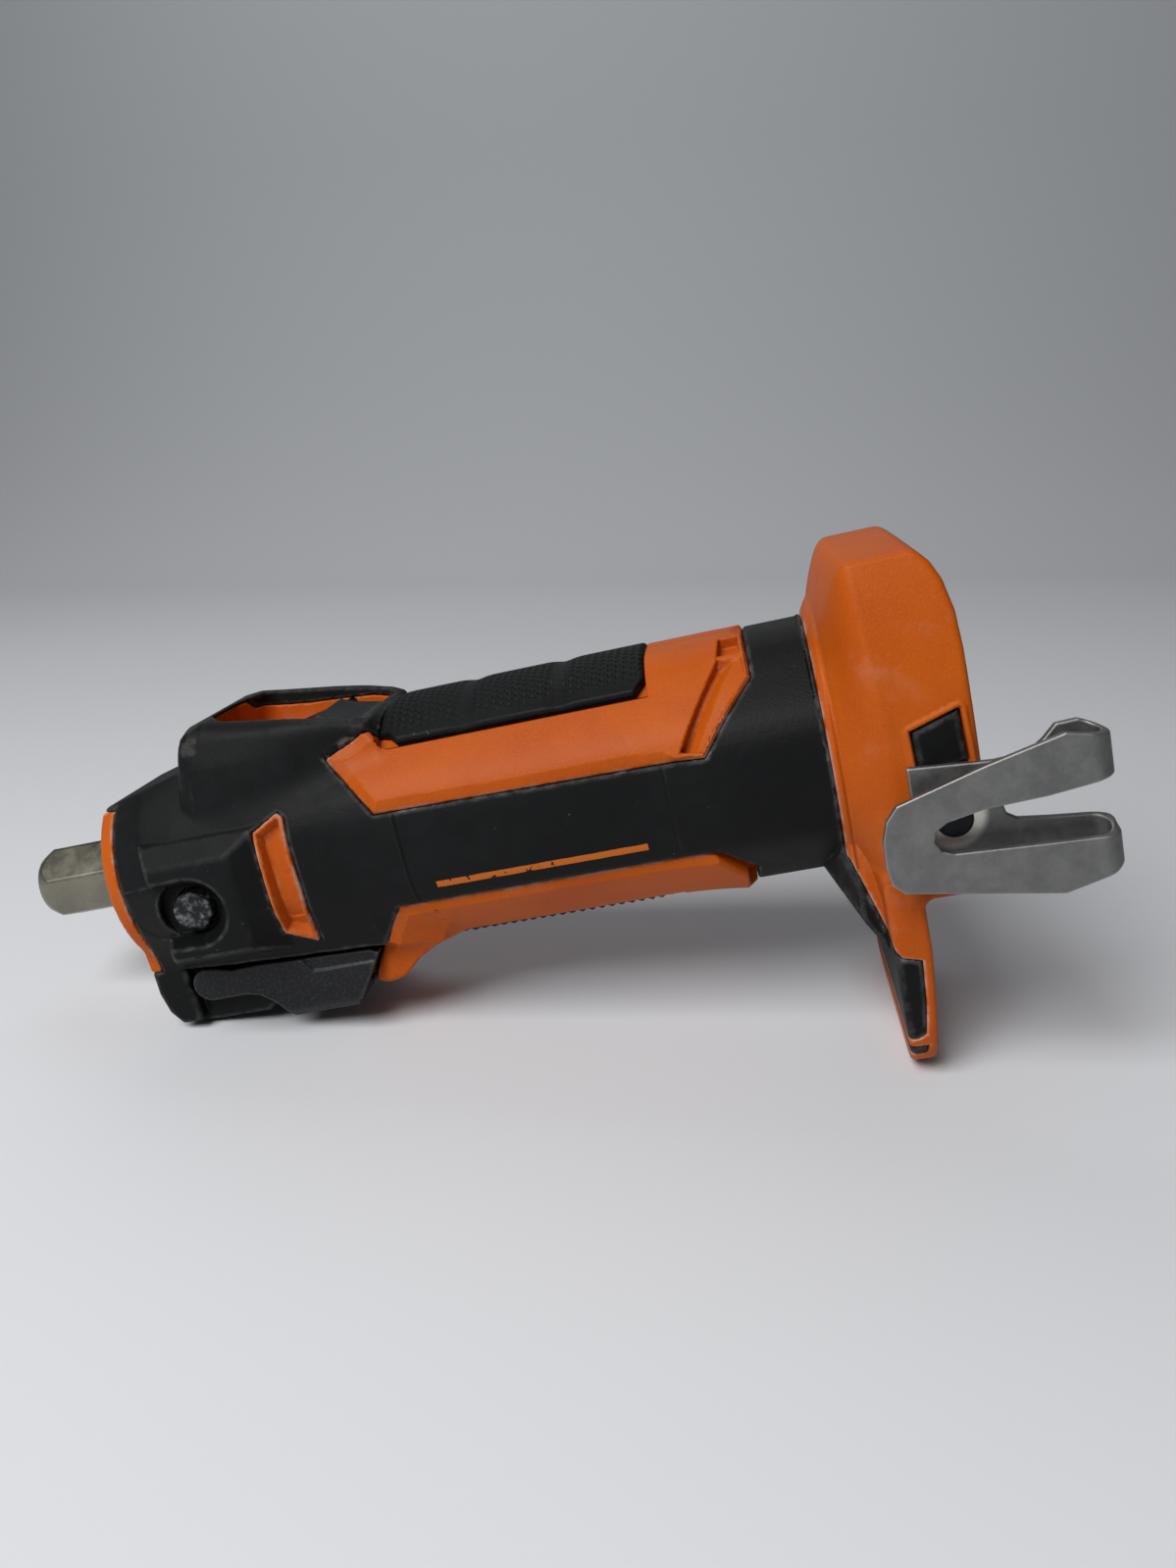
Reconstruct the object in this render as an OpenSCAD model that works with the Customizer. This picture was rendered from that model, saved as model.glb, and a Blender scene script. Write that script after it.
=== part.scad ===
// Cordless drywall cut-out tool: a straight barrel with a hex collet nose, a guarded rocker,
// a depth guide clamp under the nose and a slide-on battery foot with a belt hook.
// +X runs along the spindle from the collet mouth to the foot, +Z is the rocker's side.

/* [Barrel] */
// Radius of the barrel and handle
body_r = 31; // [30.5:0.5:34]
// Depth of each of the handle's flats below its radius
flat_drop = 0.8; // [0.4:0.1:1.2]
// Thickness of the rubber overmould
skin_t = 2; // [1.5:0.1:2.5]
// Thickness of the handle's wall with its overmould
handle_wall = 4.2; // [3.8:0.1:4.6]
// Place where the handle ends and the foot begins
collar_x = 211.5; // [208:0.5:216]
// Length of the black collar in front of the foot
collar_l = 15; // [12:0.5:20]
// Clearance of pieces that are seated in the housing
seat_gap = 0.1; // [0.05:0.01:0.2]
// Clearance of pieces that move past each other
run_gap = 0.4; // [0.3:0.05:0.6]

/* [Nose] */
// Step from the barrel's radius down to the front lip's
nose_step = 4; // [3:0.5:5]
// Distance from the collet mouth back to the front lip
nose_x = 31; // [28:0.5:32]
// Width of the orange front lip
lip_w = 4; // [3:0.5:5]
// Length of the cone from the lip to the full barrel
cone_l = 18; // [14:0.5:20]
// Depth of the flat on top of the nose below the lip's radius
nose_flat_drop = 5.5; // [4:0.5:6.5]
// Rise of the flat along the cone
nose_flat_rise = 5; // [3:0.5:7]
// Radius of the open cup around the collet nut
cup_r = 17; // [14:0.5:20]
// Depth of the cup
cup_l = 11; // [9:0.5:12]

/* [Hood] */
// Place of the hood's front wall
hood_x = 53; // [51:0.5:55]
// Length of the hood
hood_l = 54; // [50:0.5:58]
// Rise of the hood's front rim over the barrel
hood_front_rise = 6.5; // [5.5:0.5:8]
// Depth of the hood's rear rim below the barrel's radius
hood_rear_drop = 2.5; // [1:0.5:3]
// Inset of the hood's side from the barrel's radius
hood_inset = 3; // [2:0.5:4]
// Lean of the hood's side, from its root to its rim
hood_lean_in = 5.5; // [4.5:0.5:6]
// Width of the hood's rim beside the rocker pocket
rim_w = 5; // [4.5:0.5:6]
// Thickness of the hood's front wall
hood_wall = 10; // [9:0.5:11]
// Depth of the pocket floor below the barrel's radius
pocket_drop = 4.4; // [4:0.1:4.6]

/* [Rocker] */
// Place of the rocker's pivot along the barrel
rocker_x = 91; // [89:0.5:92]
// Depth of the rocker's pivot below the barrel's radius
rocker_drop = 1; // [0.6:0.1:1.2]
// Length of the rocker
rocker_l = 25; // [22:0.5:26]
// Width of the rocker
rocker_w = 20; // [16:0.5:24]
// Height of the ridge above the pivot
rocker_ridge = 4; // [3:0.25:4.5]
// Radius of the rocker's pin
rocker_pin_r = 1.25; // [1:0.05:1.4]
// Reach of the tab below the pivot, which drives the rod
tab_reach = 5; // [4.6:0.1:5.2]

/* [Depth guide clamp] */
// Place of the lever's pivot along the barrel
lever_x = 46.7; // [46:0.1:48]
// Depth of the lever's pivot inside the barrel's radius
lever_drop = 2.6; // [2:0.1:3]
// Radius of the lever's rounded front end
lever_end_r = 4.4; // [4:0.1:4.6]
// Length from the pivot to the tip of the lever
lever_l = 46.9; // [44:0.1:48]
// Height of the lever's wide part
lever_h = 13; // [12:0.1:14]
// Half width over the lever's two arms
lever_y = 22; // [21.5:0.1:23]
// Thickness of each arm
arm_t = 3.6; // [3:0.1:4]
// Radius of the cam pin that carries the lever
cam_pin_r = 2.5; // [2:0.1:2.8]
// Reach of the front bracket below the barrel
bracket_drop = 9; // [8.5:0.5:11]
// Width of the slot for the depth guide's tongue
tongue_w = 16; // [12:0.5:18]
// Height of the slot for the depth guide's tongue
tongue_h = 5; // [4.6:0.1:5.2]
// Length of the slot
tongue_l = 27; // [24:0.5:28]
// Throw of the cam that clamps the tongue
cam_throw = 0.5; // [0.4:0.05:0.6]

/* [Spindle lock] */
// Place of the lock button along the barrel
lock_x = 53; // [52.5:0.1:53.5]
// Height of the lock button
lock_z = -5.6; // [-6:0.1:-5]
// Radius of the lock button
lock_r = 5; // [4.5:0.1:5.4]
// Travel of the lock button
lock_travel = 3; // [2.5:0.1:3.2]
// Radius of the steel lock pin
lock_pin_r = 2; // [1.8:0.05:2.2]
// Rise of the guard round the button over the barrel
guard_rise = 2.5; // [1:0.5:3]
// Thickness of the guard's wall
guard_wall = 3.6; // [3:0.1:4]
// Turns of the lock spring
spring_turns = 5; // [4:1:6]
// Radius of the spring's wire
spring_wire_r = 0.4; // [0.3:0.05:0.45]

/* [Collet and spindle] */
// Width across the flats of the collet nut
nut_af = 18; // [17:0.5:19]
// Length of the collet nut
nut_l = 34; // [32:0.5:35]
// Radius of the bore that takes the bit's shank
shank_r = 3.2; // [3:0.05:3.4]
// Length of the collet
collet_l = 24; // [20:0.5:26]
// Radius of the collet's shank
collet_r = 5; // [4.8:0.1:5.4]
// Radius of the spindle's threaded nose
thread_r = 7.5; // [7:0.1:7.8]
// Running clearance of turning pieces
turn_gap = 0.05; // [0.03:0.01:0.08]
// Radius of the spindle's lock flange
flange_r = 9; // [8.5:0.1:9.4]
// Outside radius of the front bearing
front_bearing_r = 13; // [12.5:0.1:13.5]
// Bore radius of the front bearing
front_shaft_r = 5; // [4.8:0.1:5.2]
// Width of the front bearing
front_bearing_w = 8; // [7:0.5:8]
// Outside radius of the rear bearing
rear_bearing_r = 11; // [10.5:0.1:11.5]
// Bore radius of the rear bearing
rear_shaft_r = 4; // [3.8:0.1:4.2]
// Width of the rear bearing
rear_bearing_w = 7; // [6:0.5:7]

/* [Motor] */
// Room round the motor can, behind its snug bore
can_room = 2.8; // [2.6:0.1:3.3]
// Gap from the fan to the can
can_gap = 5; // [4.5:0.5:6]
// Length of the can
can_l = 50; // [48:0.5:51]
// Thickness of the can's wall
can_wall = 2; // [1.5:0.1:2.2]
// Thickness of the magnets
magnet_t = 3.4; // [3:0.1:3.8]
// Air gap between magnets and armature
air_gap = 0.6; // [0.4:0.05:0.9]
// Room round the cooling fan in the handle
fan_room = 5.3; // [4.8:0.1:6.8]
// Width of the cooling fan
fan_w = 11; // [9:0.5:12]
// Number of fan blades
fan_blades = 11; // [7:1:13]
// Radius of the commutator
commutator_r = 9; // [8.5:0.1:9.5]
// Number of armature slots
slots = 10; // [8:2:12]

/* [Foot] */
// Height of the foot's top above the axis
foot_top_z = 46.5; // [44:0.5:49]
// Depth of the foot's bottom below the axis
foot_low_z = -76; // [-80:0.5:-74]
// Half width of the foot
foot_y = 37; // [36:0.5:40]
// Half width of the foot's top
foot_top_y = 31; // [29:0.5:33]
// Length of the foot behind the collar
foot_l = 30.5; // [29:0.5:33]
// Thickness of the lower plate
plate_t = 8.5; // [8:0.1:10]
// Depth below the axis where the lower plate starts
plate_z = -31; // [-33:0.5:-29]
// Corner radius of the lower plate
plate_corner = 14; // [10:0.5:18]
// Half width of the battery channel
channel_y = 30; // [29:0.5:31]
// Depth of the battery channel
channel_l = 16; // [15.5:0.1:16.5]
// Thickness of the rail lips
rail_t = 5; // [4:0.1:6]
// Reach of each rail lip over the channel
rail_reach = 4.5; // [3:0.1:5]
// Thickness of the wall above the channel
channel_top = 12; // [10:0.5:14]

/* [Belt hook] */
// Thickness of the hook's strap
strap_t = 1.8; // [1.5:0.1:2]
// Clear gap inside the hook
hook_gap = 6; // [5:0.1:7]
// Length of the hook
hook_l = 48.5; // [46:0.5:52]
// Height of the hook
hook_h = 35.5; // [32:0.5:38]
// Place of the hook's front end
hook_x = 218.5; // [217:0.5:220]
// Height of the hook's top edge
hook_top_z = 4.2; // [3:0.1:6]
// Radius of the hook screw's thread
hook_screw_r = 2; // [1.8:0.1:2.2]
// Place of the hook screw along the barrel
hook_screw_x = 234.4; // [233.5:0.1:235]
// Height of the hook screw
hook_screw_z = -12; // [-12.6:0.1:-11.4]

/* [Grips and screws] */
// Length of the top grip
top_grip_l = 66; // [60:0.5:68]
// Half width of the top grip
top_grip_y = 20; // [17:0.5:20.5]
// Length of the bottom grip
low_grip_l = 64; // [58:0.5:68]
// Half width of the bottom grip
low_grip_y = 14; // [11:0.5:16]
// Place of both grips' front ends
grip_x = 107.5; // [107:0.5:110]
// Thickness of the grips
grip_t = 2.6; // [2.3:0.1:2.8]
// Radius of the housing screws
screw_r = 1.9; // [1.7:0.05:2]
// Half length of a housing screw's thread
screw_half_l = 14; // [12:0.5:14]
// Radius of a housing screw's head
screw_head_r = 3.5; // [3.2:0.1:3.6]
// Height of a housing screw's head
screw_head_l = 3; // [2.5:0.1:3]

/* [Hidden] */
$fn = 96;

// Overrun of every cut, and the reach of a half space
cut = 1;
far = 400;

// Heights and radii that follow the barrel's radius
flat_a = body_r - flat_drop;
cavity_r = body_r - handle_wall;
nose_r = body_r - nose_step;
nose_flat_z = nose_r - nose_flat_drop;
hood_front_z = body_r + hood_front_rise;
hood_rear_z = body_r - hood_rear_drop;
hood_y = body_r - hood_inset;
hood_rim_y = hood_y - hood_lean_in;
pocket_y = hood_rim_y - rim_w;
pocket_z = body_r - pocket_drop;
rocker_z = body_r - rocker_drop;
lever_z = lever_drop - body_r;
bracket_z = -body_r - bracket_drop;
guard_y = body_r + guard_rise;
can_r = cavity_r - can_room;
fan_r = cavity_r - fan_room;

// Places along the barrel
lip_flare = 0.5;
lip_x = nose_x + lip_w;
cone_x = lip_x + cone_l;
black_x = collar_x - collar_l;
foot_x = collar_x + foot_l;
hood_end = hood_x + hood_l;
hood_back_wall = 3;
pocket_end = hood_end - hood_back_wall;
hood_seam = 0.5;
hood_seam_x = hood_end + hood_seam;

// Nose: web behind the cup, lock chamber and front bearing seat
web_t = 4;
web_x = nose_x + cup_l;
web_bore_gap = 1;
web_bore_r = flange_r - web_bore_gap;
flange_room = 2;
lock_chamber_r = flange_r + flange_room;
lock_chamber_l = 12;
bearing_lip = 1;
bearing_shoulder = 1.5;
lock_chamber_x = web_x + web_t;
bearing_x = lock_chamber_x + lock_chamber_l;
bearing_end = bearing_x + front_bearing_w;
lip_bore_r = front_bearing_r - bearing_shoulder;
fan_gap = 1;
fan_tip_gap = 2.5;
fan_x = bearing_end + bearing_lip + fan_gap;
fan_chamber_r = fan_r + fan_tip_gap;
fan_hub_wall = 3.5;
fan_plate_t = 1.6;
fan_blade_t = 1.4;
fan_blade_gap = 2;
fan_end = fan_x + fan_w;

// Motor: the can sits in a snug bore, with the rear bearing in a web behind it
can_x = fan_end + can_gap;
can_end = can_x + can_l;
holder_l = 10;
holder_end = can_end + holder_l;
rear_web_gap = 1;
rear_web_x = holder_end + rear_web_gap;
rear_lip = 1.5;
rear_shoulder = 2;
rear_vent_turns = [30, 150, 210, 330];
rear_bearing_x = rear_web_x + rear_lip;
rear_web_end = rear_bearing_x + rear_bearing_w + rear_lip;
snug_l = 26;
snug_end = can_x + snug_l;
magnet_r = can_r - can_wall;
armature_r = magnet_r - magnet_t - air_gap;
armature_set = 7.5;
armature_short = 16;
armature_x = can_x + armature_set;
armature_l = can_l - armature_short;
armature_end = armature_x + armature_l;
winding_l = 4;
winding_sink = 2;
winding_round = 1;
winding_bore_wall = 9;
winding_r = armature_r - winding_sink;
slot_w = 4;
slot_depth = 9;
slot_r = armature_r - slot_depth;
commutator_gap = 2;
commutator_x = armature_end + winding_l + commutator_gap;
commutator_l = 10;
slit_w = 0.6;
slit_depth = 1;
can_bore_gap = 2;
can_hole_r = 3;
magnet_span = 140;
brush_wall = 1;
brush_bore_gap = 2;

// Guide clamp: bracket, boss and belly under the barrel
boss_y = lever_y - arm_t - run_gap;
bracket_set = 2;
bracket_x = nose_x + bracket_set;
bracket_l = 8.6;
bracket_chamfer = 4;
boss_end = 104;
boss_lift = 2.8;
boss_step = 15.5;
boss_step_x = lever_x + boss_step;
belly_overlap = 6.8;
belly_x = lever_x + lever_l - belly_overlap;
belly_drop = 1.5;
belly_z = bracket_z - belly_drop;
bracket_floor = 2.4;
tongue_z = bracket_z + bracket_floor;
paddle_set = 17.3;
paddle_short = 8.2;
paddle_x = lever_x + paddle_set;
paddle_end = lever_x + lever_l - paddle_short;
paddle_t = 4.2;
paddle_chamfer = 8;
cam_r = 4;
cam_w = 12;
pad_h = 2;
pad_l = 14;
clamp_play = 0.3;
pad_top_z = lever_z - cam_r - cam_throw - clamp_play;
cam_room = 1;

// Spindle lock, measured outwards from the axis on the near side
lock_floor_depth = 6.6;
lock_floor_y = body_r - lock_floor_depth;
lock_lip = 1;
lock_skirt_t = 1.5;
lock_skirt_w = 1;
lock_skirt_r = lock_r + lock_skirt_w;
lock_room_gap = 0.9;
lock_room_y = lock_floor_y - lock_lip - lock_skirt_t - lock_travel - lock_room_gap;
spring_seat_y = 13.4;
lock_cap_depth = 1.5;
lock_cap_y = body_r - lock_cap_depth;
lock_pocket_gap = 1.2;
lock_pocket_r = lock_r + lock_pocket_gap;
scoop_flare = 2;
guard_front = 6.6;
guard_back = 15.2;
guard_top = 14.6;
guard_low = 11;
guard_brow = 3.8;
guard_brow_drop = 1.9;
guard_ledge = 1.4;
guard_front_run = 4;
guard_back_run = 18;
guard_low_run = 6.8;
spring_r = 3;
lock_pin_out = lock_floor_y;
lock_pin_lead = 0.3;
lock_pin_in = flange_r - lock_pin_lead;
flange_half_l = 4;
flange_step = 3;
neck_r = flange_r - flange_step;

// Rocker and rod
rod_drop = 2.3;
rod_z = cavity_r - rod_drop;
rod_t = 1.4;
rod_w = 5;
rod_lead = 7;
rod_x = rocker_x - rod_lead;
rod_room = 2;
tab_w = 3;
tab_l = 2;
notch_gap = 0.5;

// Rear chamber: shelves, switch, board
switch_gap = 3.6;
switch_x = rear_web_end + switch_gap;
rod_in = 1.4;
rod_end = switch_x + rod_in;
switch_l = 26;
switch_w = 17;
switch_h = 16.9;
switch_top_gap = 0.6;
switch_neck_h = 2.5;
switch_top_z = rod_z - switch_top_gap;
switch_low_z = switch_top_z - switch_h;
switch_neck_z = switch_top_z + switch_neck_h;
switch_slot_l = 4;
shelf_x = rear_web_end;
shelf_t = 2;
shelf_lap = 6.5;
shelf_end = black_x + shelf_lap;
board_z = -11;
board_t = 1.6;
board_l = 38;
board_inset = 8.8;
board_w = 2 * (cavity_r - board_inset);
board_gap = 5;
board_x = rear_web_end + board_gap;
sink_set = 6;
sink_x = board_x + sink_set;
sink_l = 22;
sink_w = 24;
sink_h = 7;
sink_fins = 5;
sink_base = 1.6;
fin_t = 1.2;

// Foot
plate_set = 6;
plate_end = collar_x + plate_t + plate_set;
plate_x = plate_end - plate_t;
channel_x = foot_x - channel_l;
channel_top_z = foot_top_z - channel_top;
lip_front = foot_x - rail_t;
fairing_l = 11.5;
rear_chamfer = 7.5;
foot_room_wall = 3;
gusset_lap = 6;
gusset_inset = 5;
gusset_x = collar_x - gusset_lap;
gusset_y = body_r - gusset_inset;
block_l = 10;
block_h = 24;
block_w = 46;
block_z = 8;
blade_t = 0.8;
blade_l = 5;
blade_drop = 20;
blade_pitch = 10;
blades = 4;
bumper_t = 2.2;
insert_r = 2.9;
insert_l = 5.6;
thread_depth = 0.3;
screw_core_r = hook_screw_r - thread_depth;

// Belt hook and its screw
bend_r = hook_gap / 2 + strap_t;
hook_seat_gap = 0.1;
hook_in_y = foot_y + hook_seat_gap;
hook_out_y = hook_in_y + strap_t + hook_gap;
bend_x = hook_x + hook_l - bend_r;
pan_head_r = 4;
pan_head_l = 2.4;
leaf_lead = 8;
leaf_x = hook_screw_x - leaf_lead;
leaf_half_h = 9;

// Outlines as shares: [along the length, up the height] of the piece they belong to
hook_outline_shares = [[0.07, 0.74], [0.27, 0.83], [0.52, 0.92], [0.81, 1], [1, 0.94], [1, 0.72], [0.94, 0.68],
    [0.51, 0.63], [0.27, 0.62], [0.22, 0.57], [0.205, 0.49], [0.22, 0.41], [0.26, 0.355], [0.41, 0.36],
    [0.93, 0.345], [1, 0.39], [1, 0.105], [0.735, 0], [0.27, 0.13], [0.05, 0.18], [0.01, 0.34], [0, 0.57],
    [0.03, 0.69]];
lever_outline_shares = [[0.06, 0.32], [0.15, 0.215], [0.32, 0.245], [0.52, 0.21], [0.95, 0.155], [1, 0.07],
    [0.825, -0.85], [0.41, -0.825], [0.33, -0.56], [0.265, -0.37], [0.01, -0.345]];
hood_lean_share = 0.7;
hood_top_shares = [[0.33, 0.97], [0.61, 0.92], [0.79, 0.868], [0.91, 0.832]];
hood_plan_shares = [[0, 0.68], [0.07, 0.83], [0.18, 0.93], [0.35, 0.95], [0.57, 0.88], [0.75, 0.79],
    [1, 0.71]];
foot_front_shares = [[0, 0.67], [0.33, 0.82], [0.5, 0.91], [0.7, 0.975], [1, 1]];
funnel_shares = [[0, 1], [0.25, 1.05], [0.5, 1.17], [0.75, 1.35], [1, 1.9]];
foot_rear_shares = [[1, 0], [0.4, 0.65], [0, 2]];
foot_plan_shares = [[0, 1], [0.45, 1.04], [0.75, 1.12]];
ball_share = 0.29;
race_share = 0.6;
slit_share = 0.7;
bumper_shares = [[0.56, 0.085], [0.91, 0.112], [0.93, -0.005], [0.63, -0.02], [0.57, -0.006]];

// Panels left open in the overmould, in named places: upper panel, lower band, vents
panel_low_z = 9.5;
panel_tip_x = 94.5;
panel_tip_z = 23;
panel_front_x = 105;
panel_rear_x = 184.5;
panel_lap = 1;
panel_back_x = black_x + panel_lap;
panel_back_z = 23.4;
band_top_z = -13.5;
band_front_x = 108;
band_foot_x = 97;
band_foot_z = -25;
band_rear_x = 183.5;
band_back_x = 190.6;
vent_x = 73.9;
vent_w = 8.5;
vent_top_z = 14.5;
vent_low_z = -19;
vent_lean = 4;
vent_rim = 1.3;
vent_depth = 3.4;
vent_slit = 1.8;
louvre_w = 5.2;
louvre_depth = 3.2;
louvre_slit = 0.8;
louvre_rim = 1.2;
louvre_top_z = 27;
louvre_low_z = 10.5;
louvre_top_x = 194.2;
louvre_low_x = 181.6;

// Housing screws: [place along the barrel, height]
hood_screw_set = 6;
hood_screw_drop = 11;
nose_screw_set = 4;
nose_screw_rise = 7.4;
belly_screw_set = 6;
belly_screw_rise = 7;
web_screw_set = 9.5;
foot_screw_set = 5;
foot_screw_drop = 6;
screw_spots = [[hood_x + hood_screw_set, hood_front_z - hood_screw_drop],
    [bearing_x - nose_screw_set, lever_z + nose_screw_rise],
    [boss_end - belly_screw_set, bracket_z + belly_screw_rise],
    [(rear_web_x + rear_web_end) / 2, cavity_r - web_screw_set],
    [(rear_web_x + rear_web_end) / 2, web_screw_set - cavity_r],
    [channel_x + foot_screw_set, foot_top_z - foot_screw_drop],
    [plate_end - plate_t / 2, foot_low_z + plate_corner]];

// A box from its lowest to its highest corner
module block(low, high) {
    translate(low) cube(high - low);
}

// A solid turned about the spindle axis from [radius, place] points
module turned(points) {
    rotate([0, 90, 0]) rotate_extrude() polygon(points);
}

// A round bar along the spindle axis
module bar_x(r, x0, x1) {
    translate([x0, 0, 0]) rotate([0, 90, 0]) cylinder(h = x1 - x0, r = r);
}

// A round bar across the tool at a place along it and a height
module bar_y(r, x, z, y0, y1) {
    translate([x, y0, z]) rotate([-90, 0, 0]) cylinder(h = y1 - y0, r = r);
}

// A side outline, in [along, up], carried across the tool
module across(points, y0, y1) {
    translate([0, y1, 0]) rotate([90, 0, 0]) linear_extrude(height = y1 - y0) polygon(points);
}

// A front outline, in [across, up], carried along the tool
module along(points, x0, x1) {
    translate([x0, 0, 0]) rotate([90, 0, 90]) linear_extrude(height = x1 - x0) polygon(points);
}

// One side of the split plane: -1 is the left half, 1 the right
module half(side) {
    block([-far, side < 0 ? -far : 0, -far], [far, side < 0 ? 0 : far, far]);
}

// Barrel, sunk by d all round: lip, cone and handle with its eight flats
module barrel(d) {
    intersection() {
        turned([[0, nose_x], [nose_r - d, nose_x], [nose_r + lip_flare - d, lip_x],
            [body_r - d, cone_x], [body_r - d, collar_x + d], [0, collar_x + d]]);
        union() {
            for (turn = [0, 45])
                rotate([turn, 0, 0]) intersection() {
                    block([nose_x - cut, d - flat_a, d - flat_a], [foot_x, flat_a - d, flat_a - d]);
                    rotate([45, 0, 0])
                        block([nose_x - cut, d - flat_a, d - flat_a], [foot_x, flat_a - d, flat_a - d]);
                }
        }
        across([[nose_x - cut, -far], [nose_x - cut, nose_flat_z - d], [nose_x, nose_flat_z - d],
            [cone_x, nose_flat_z + nose_flat_rise - d], [cone_x, far], [foot_x, far], [foot_x, -far]],
            -far, far);
    }
}

// Hood round the rocker, sunk by d
module hood(d) {
    lean = hood_wall * hood_lean_share;
    corner = hood_y - hood_rim_y;
    l = hood_end - hood_x;
    intersection() {
        across([[hood_x + d, 0], [hood_x + d, hood_front_z / 3],
            [hood_x + lean / 2 + d, hood_front_z - corner], [hood_x + lean + d, hood_front_z - d],
            for (s = hood_top_shares) [hood_x + s[0] * l, s[1] * hood_front_z - d],
            [hood_end - d, hood_rear_z - d], [hood_end - d, 0]], -far, far);
        linear_extrude(height = far)
            for (side = [-1, 1])
                polygon([[hood_x + d, 0],
                    for (s = hood_plan_shares)
                        [hood_x + s[0] * l + (s[0] > 0 ? 0 : d), side * (s[1] * hood_y - d)],
                    [hood_end, 0]]);
        along([[d - hood_y, 0], [d - hood_y, hood_front_z / 3], [d - hood_rim_y - corner / 2, hood_rear_z],
            [d - hood_rim_y + corner / 2, hood_front_z + cut],
            [hood_rim_y - corner / 2 - d, hood_front_z + cut],
            [hood_rim_y + corner / 2 - d, hood_rear_z], [hood_y - d, hood_front_z / 3], [hood_y - d, 0]],
            hood_x - cut, hood_end + cut);
    }
}

// Bracket, boss and belly under the barrel, sunk by d
module guide_boss(d) {
    across([[bracket_x + d, 0], [bracket_x + d, bracket_z + 2 * bracket_chamfer],
        [bracket_x + bracket_chamfer + d, bracket_z + d], [boss_step_x - bracket_chamfer, bracket_z + d],
        [boss_step_x, bracket_z + boss_lift + d], [belly_x, bracket_z + boss_lift + d], [belly_x, belly_z + d],
        [belly_x + lever_h / 2, belly_z + d], [boss_end - lever_h / 3, belly_z + lever_h / 3 + d],
        [boss_end - d, -body_r], [boss_end - d, 0]], d - boss_y, boss_y - d);
    across([[bracket_x + d, -nose_r / 2], [bracket_x + d, bracket_z + 2 * bracket_chamfer],
        [bracket_x + bracket_chamfer + d, bracket_z + bracket_chamfer / 2 + d],
        [bracket_x + bracket_l, bracket_z + bracket_chamfer / 2 + d], [bracket_x + bracket_l, -nose_r / 2]],
        d - lever_y, lever_y - d);
}

// Guard round the lock button, on the left side only: a block with sloped sides and a brow over the
// button, standing on the skin, and the boss under it
module lock_guard() {
    x0 = lock_x - guard_front;
    x1 = lock_x + guard_back;
    z0 = lock_z - guard_low;
    z1 = lock_z + guard_top;
    bar_y(lock_pocket_r + guard_wall, lock_x, lock_z, skin_t - body_r - cut, -lock_floor_y);
    difference() {
        intersection() {
            along([[-guard_y, z0], [-guard_y, z1], [guard_brow_drop - guard_y, z1 + guard_brow],
                [-lock_floor_y, z1 + guard_brow + guard_ledge], [-lock_floor_y, z0 - guard_low_run]],
                x0 - guard_front_run, x1 + guard_back_run);
            translate([0, 0, -far]) linear_extrude(height = 2 * far)
                polygon([[x0, -guard_y], [x1, -guard_y], [x1 + guard_back_run, -lock_floor_y],
                    [x0 - guard_front_run, -lock_floor_y]]);
        }
        form(skin_t);
        bare_panels();
    }
}

// Outer form of the barrel with all that stands on it
module form(d) {
    barrel(d);
    hood(d);
    guide_boss(d);
}

// Outline of one vent frame, grown or shrunk by g
function vent_outline(g) = [[vent_x + vent_w - vent_lean / 3 + g / 2, vent_top_z + g],
    [vent_x - g, vent_top_z - vent_lean - g / 2], [vent_x - g, vent_low_z + vent_lean + g / 2],
    [vent_x + vent_w - vent_lean / 3 + g / 2, vent_low_z - g], [vent_x + vent_w + g, 0]];

// Outline of the slanted louvre behind the upper panel, grown or shrunk by g
function louvre_outline(g) = [[louvre_top_x - louvre_w / 2 - g, louvre_top_z + g],
    [louvre_top_x + louvre_w / 2 + g, louvre_top_z + g], [louvre_low_x + louvre_w / 2 + g, louvre_low_z - g],
    [louvre_low_x - louvre_w / 2 - g, louvre_low_z - g]];

// What the overmould leaves open: upper panels with their louvres, lower bands, vents and both ends
module bare_panels() {
    across([[panel_front_x, panel_low_z], [panel_tip_x, panel_tip_z], [hood_seam_x, hood_rear_z],
        [hood_seam_x, far], [black_x, far], [panel_back_x, panel_back_z], [panel_rear_x, panel_low_z]],
        -far, far);
    across([[band_front_x, band_top_z], [band_foot_x, band_foot_z], [belly_x, belly_z], [belly_x, -far],
        [black_x, -far], [band_back_x, band_foot_z], [band_rear_x, band_top_z]], -far, far);
    across(vent_outline(vent_rim), -far, far);
    block([-far, -far, -far], [lip_x, far, far]);
    block([collar_x, -far, -far], [far, far, far]);
}

// Rocker pocket in the hood
module rocker_pocket() {
    block([hood_x + hood_wall, -pocket_y, pocket_z], [pocket_end, pocket_y, hood_front_z + cut]);
    block([rod_x - rod_room, -rod_w / 2 - run_gap, rod_z - run_gap],
        [snug_end + cut, rod_w / 2 + run_gap, pocket_z + cut]);
}

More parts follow.
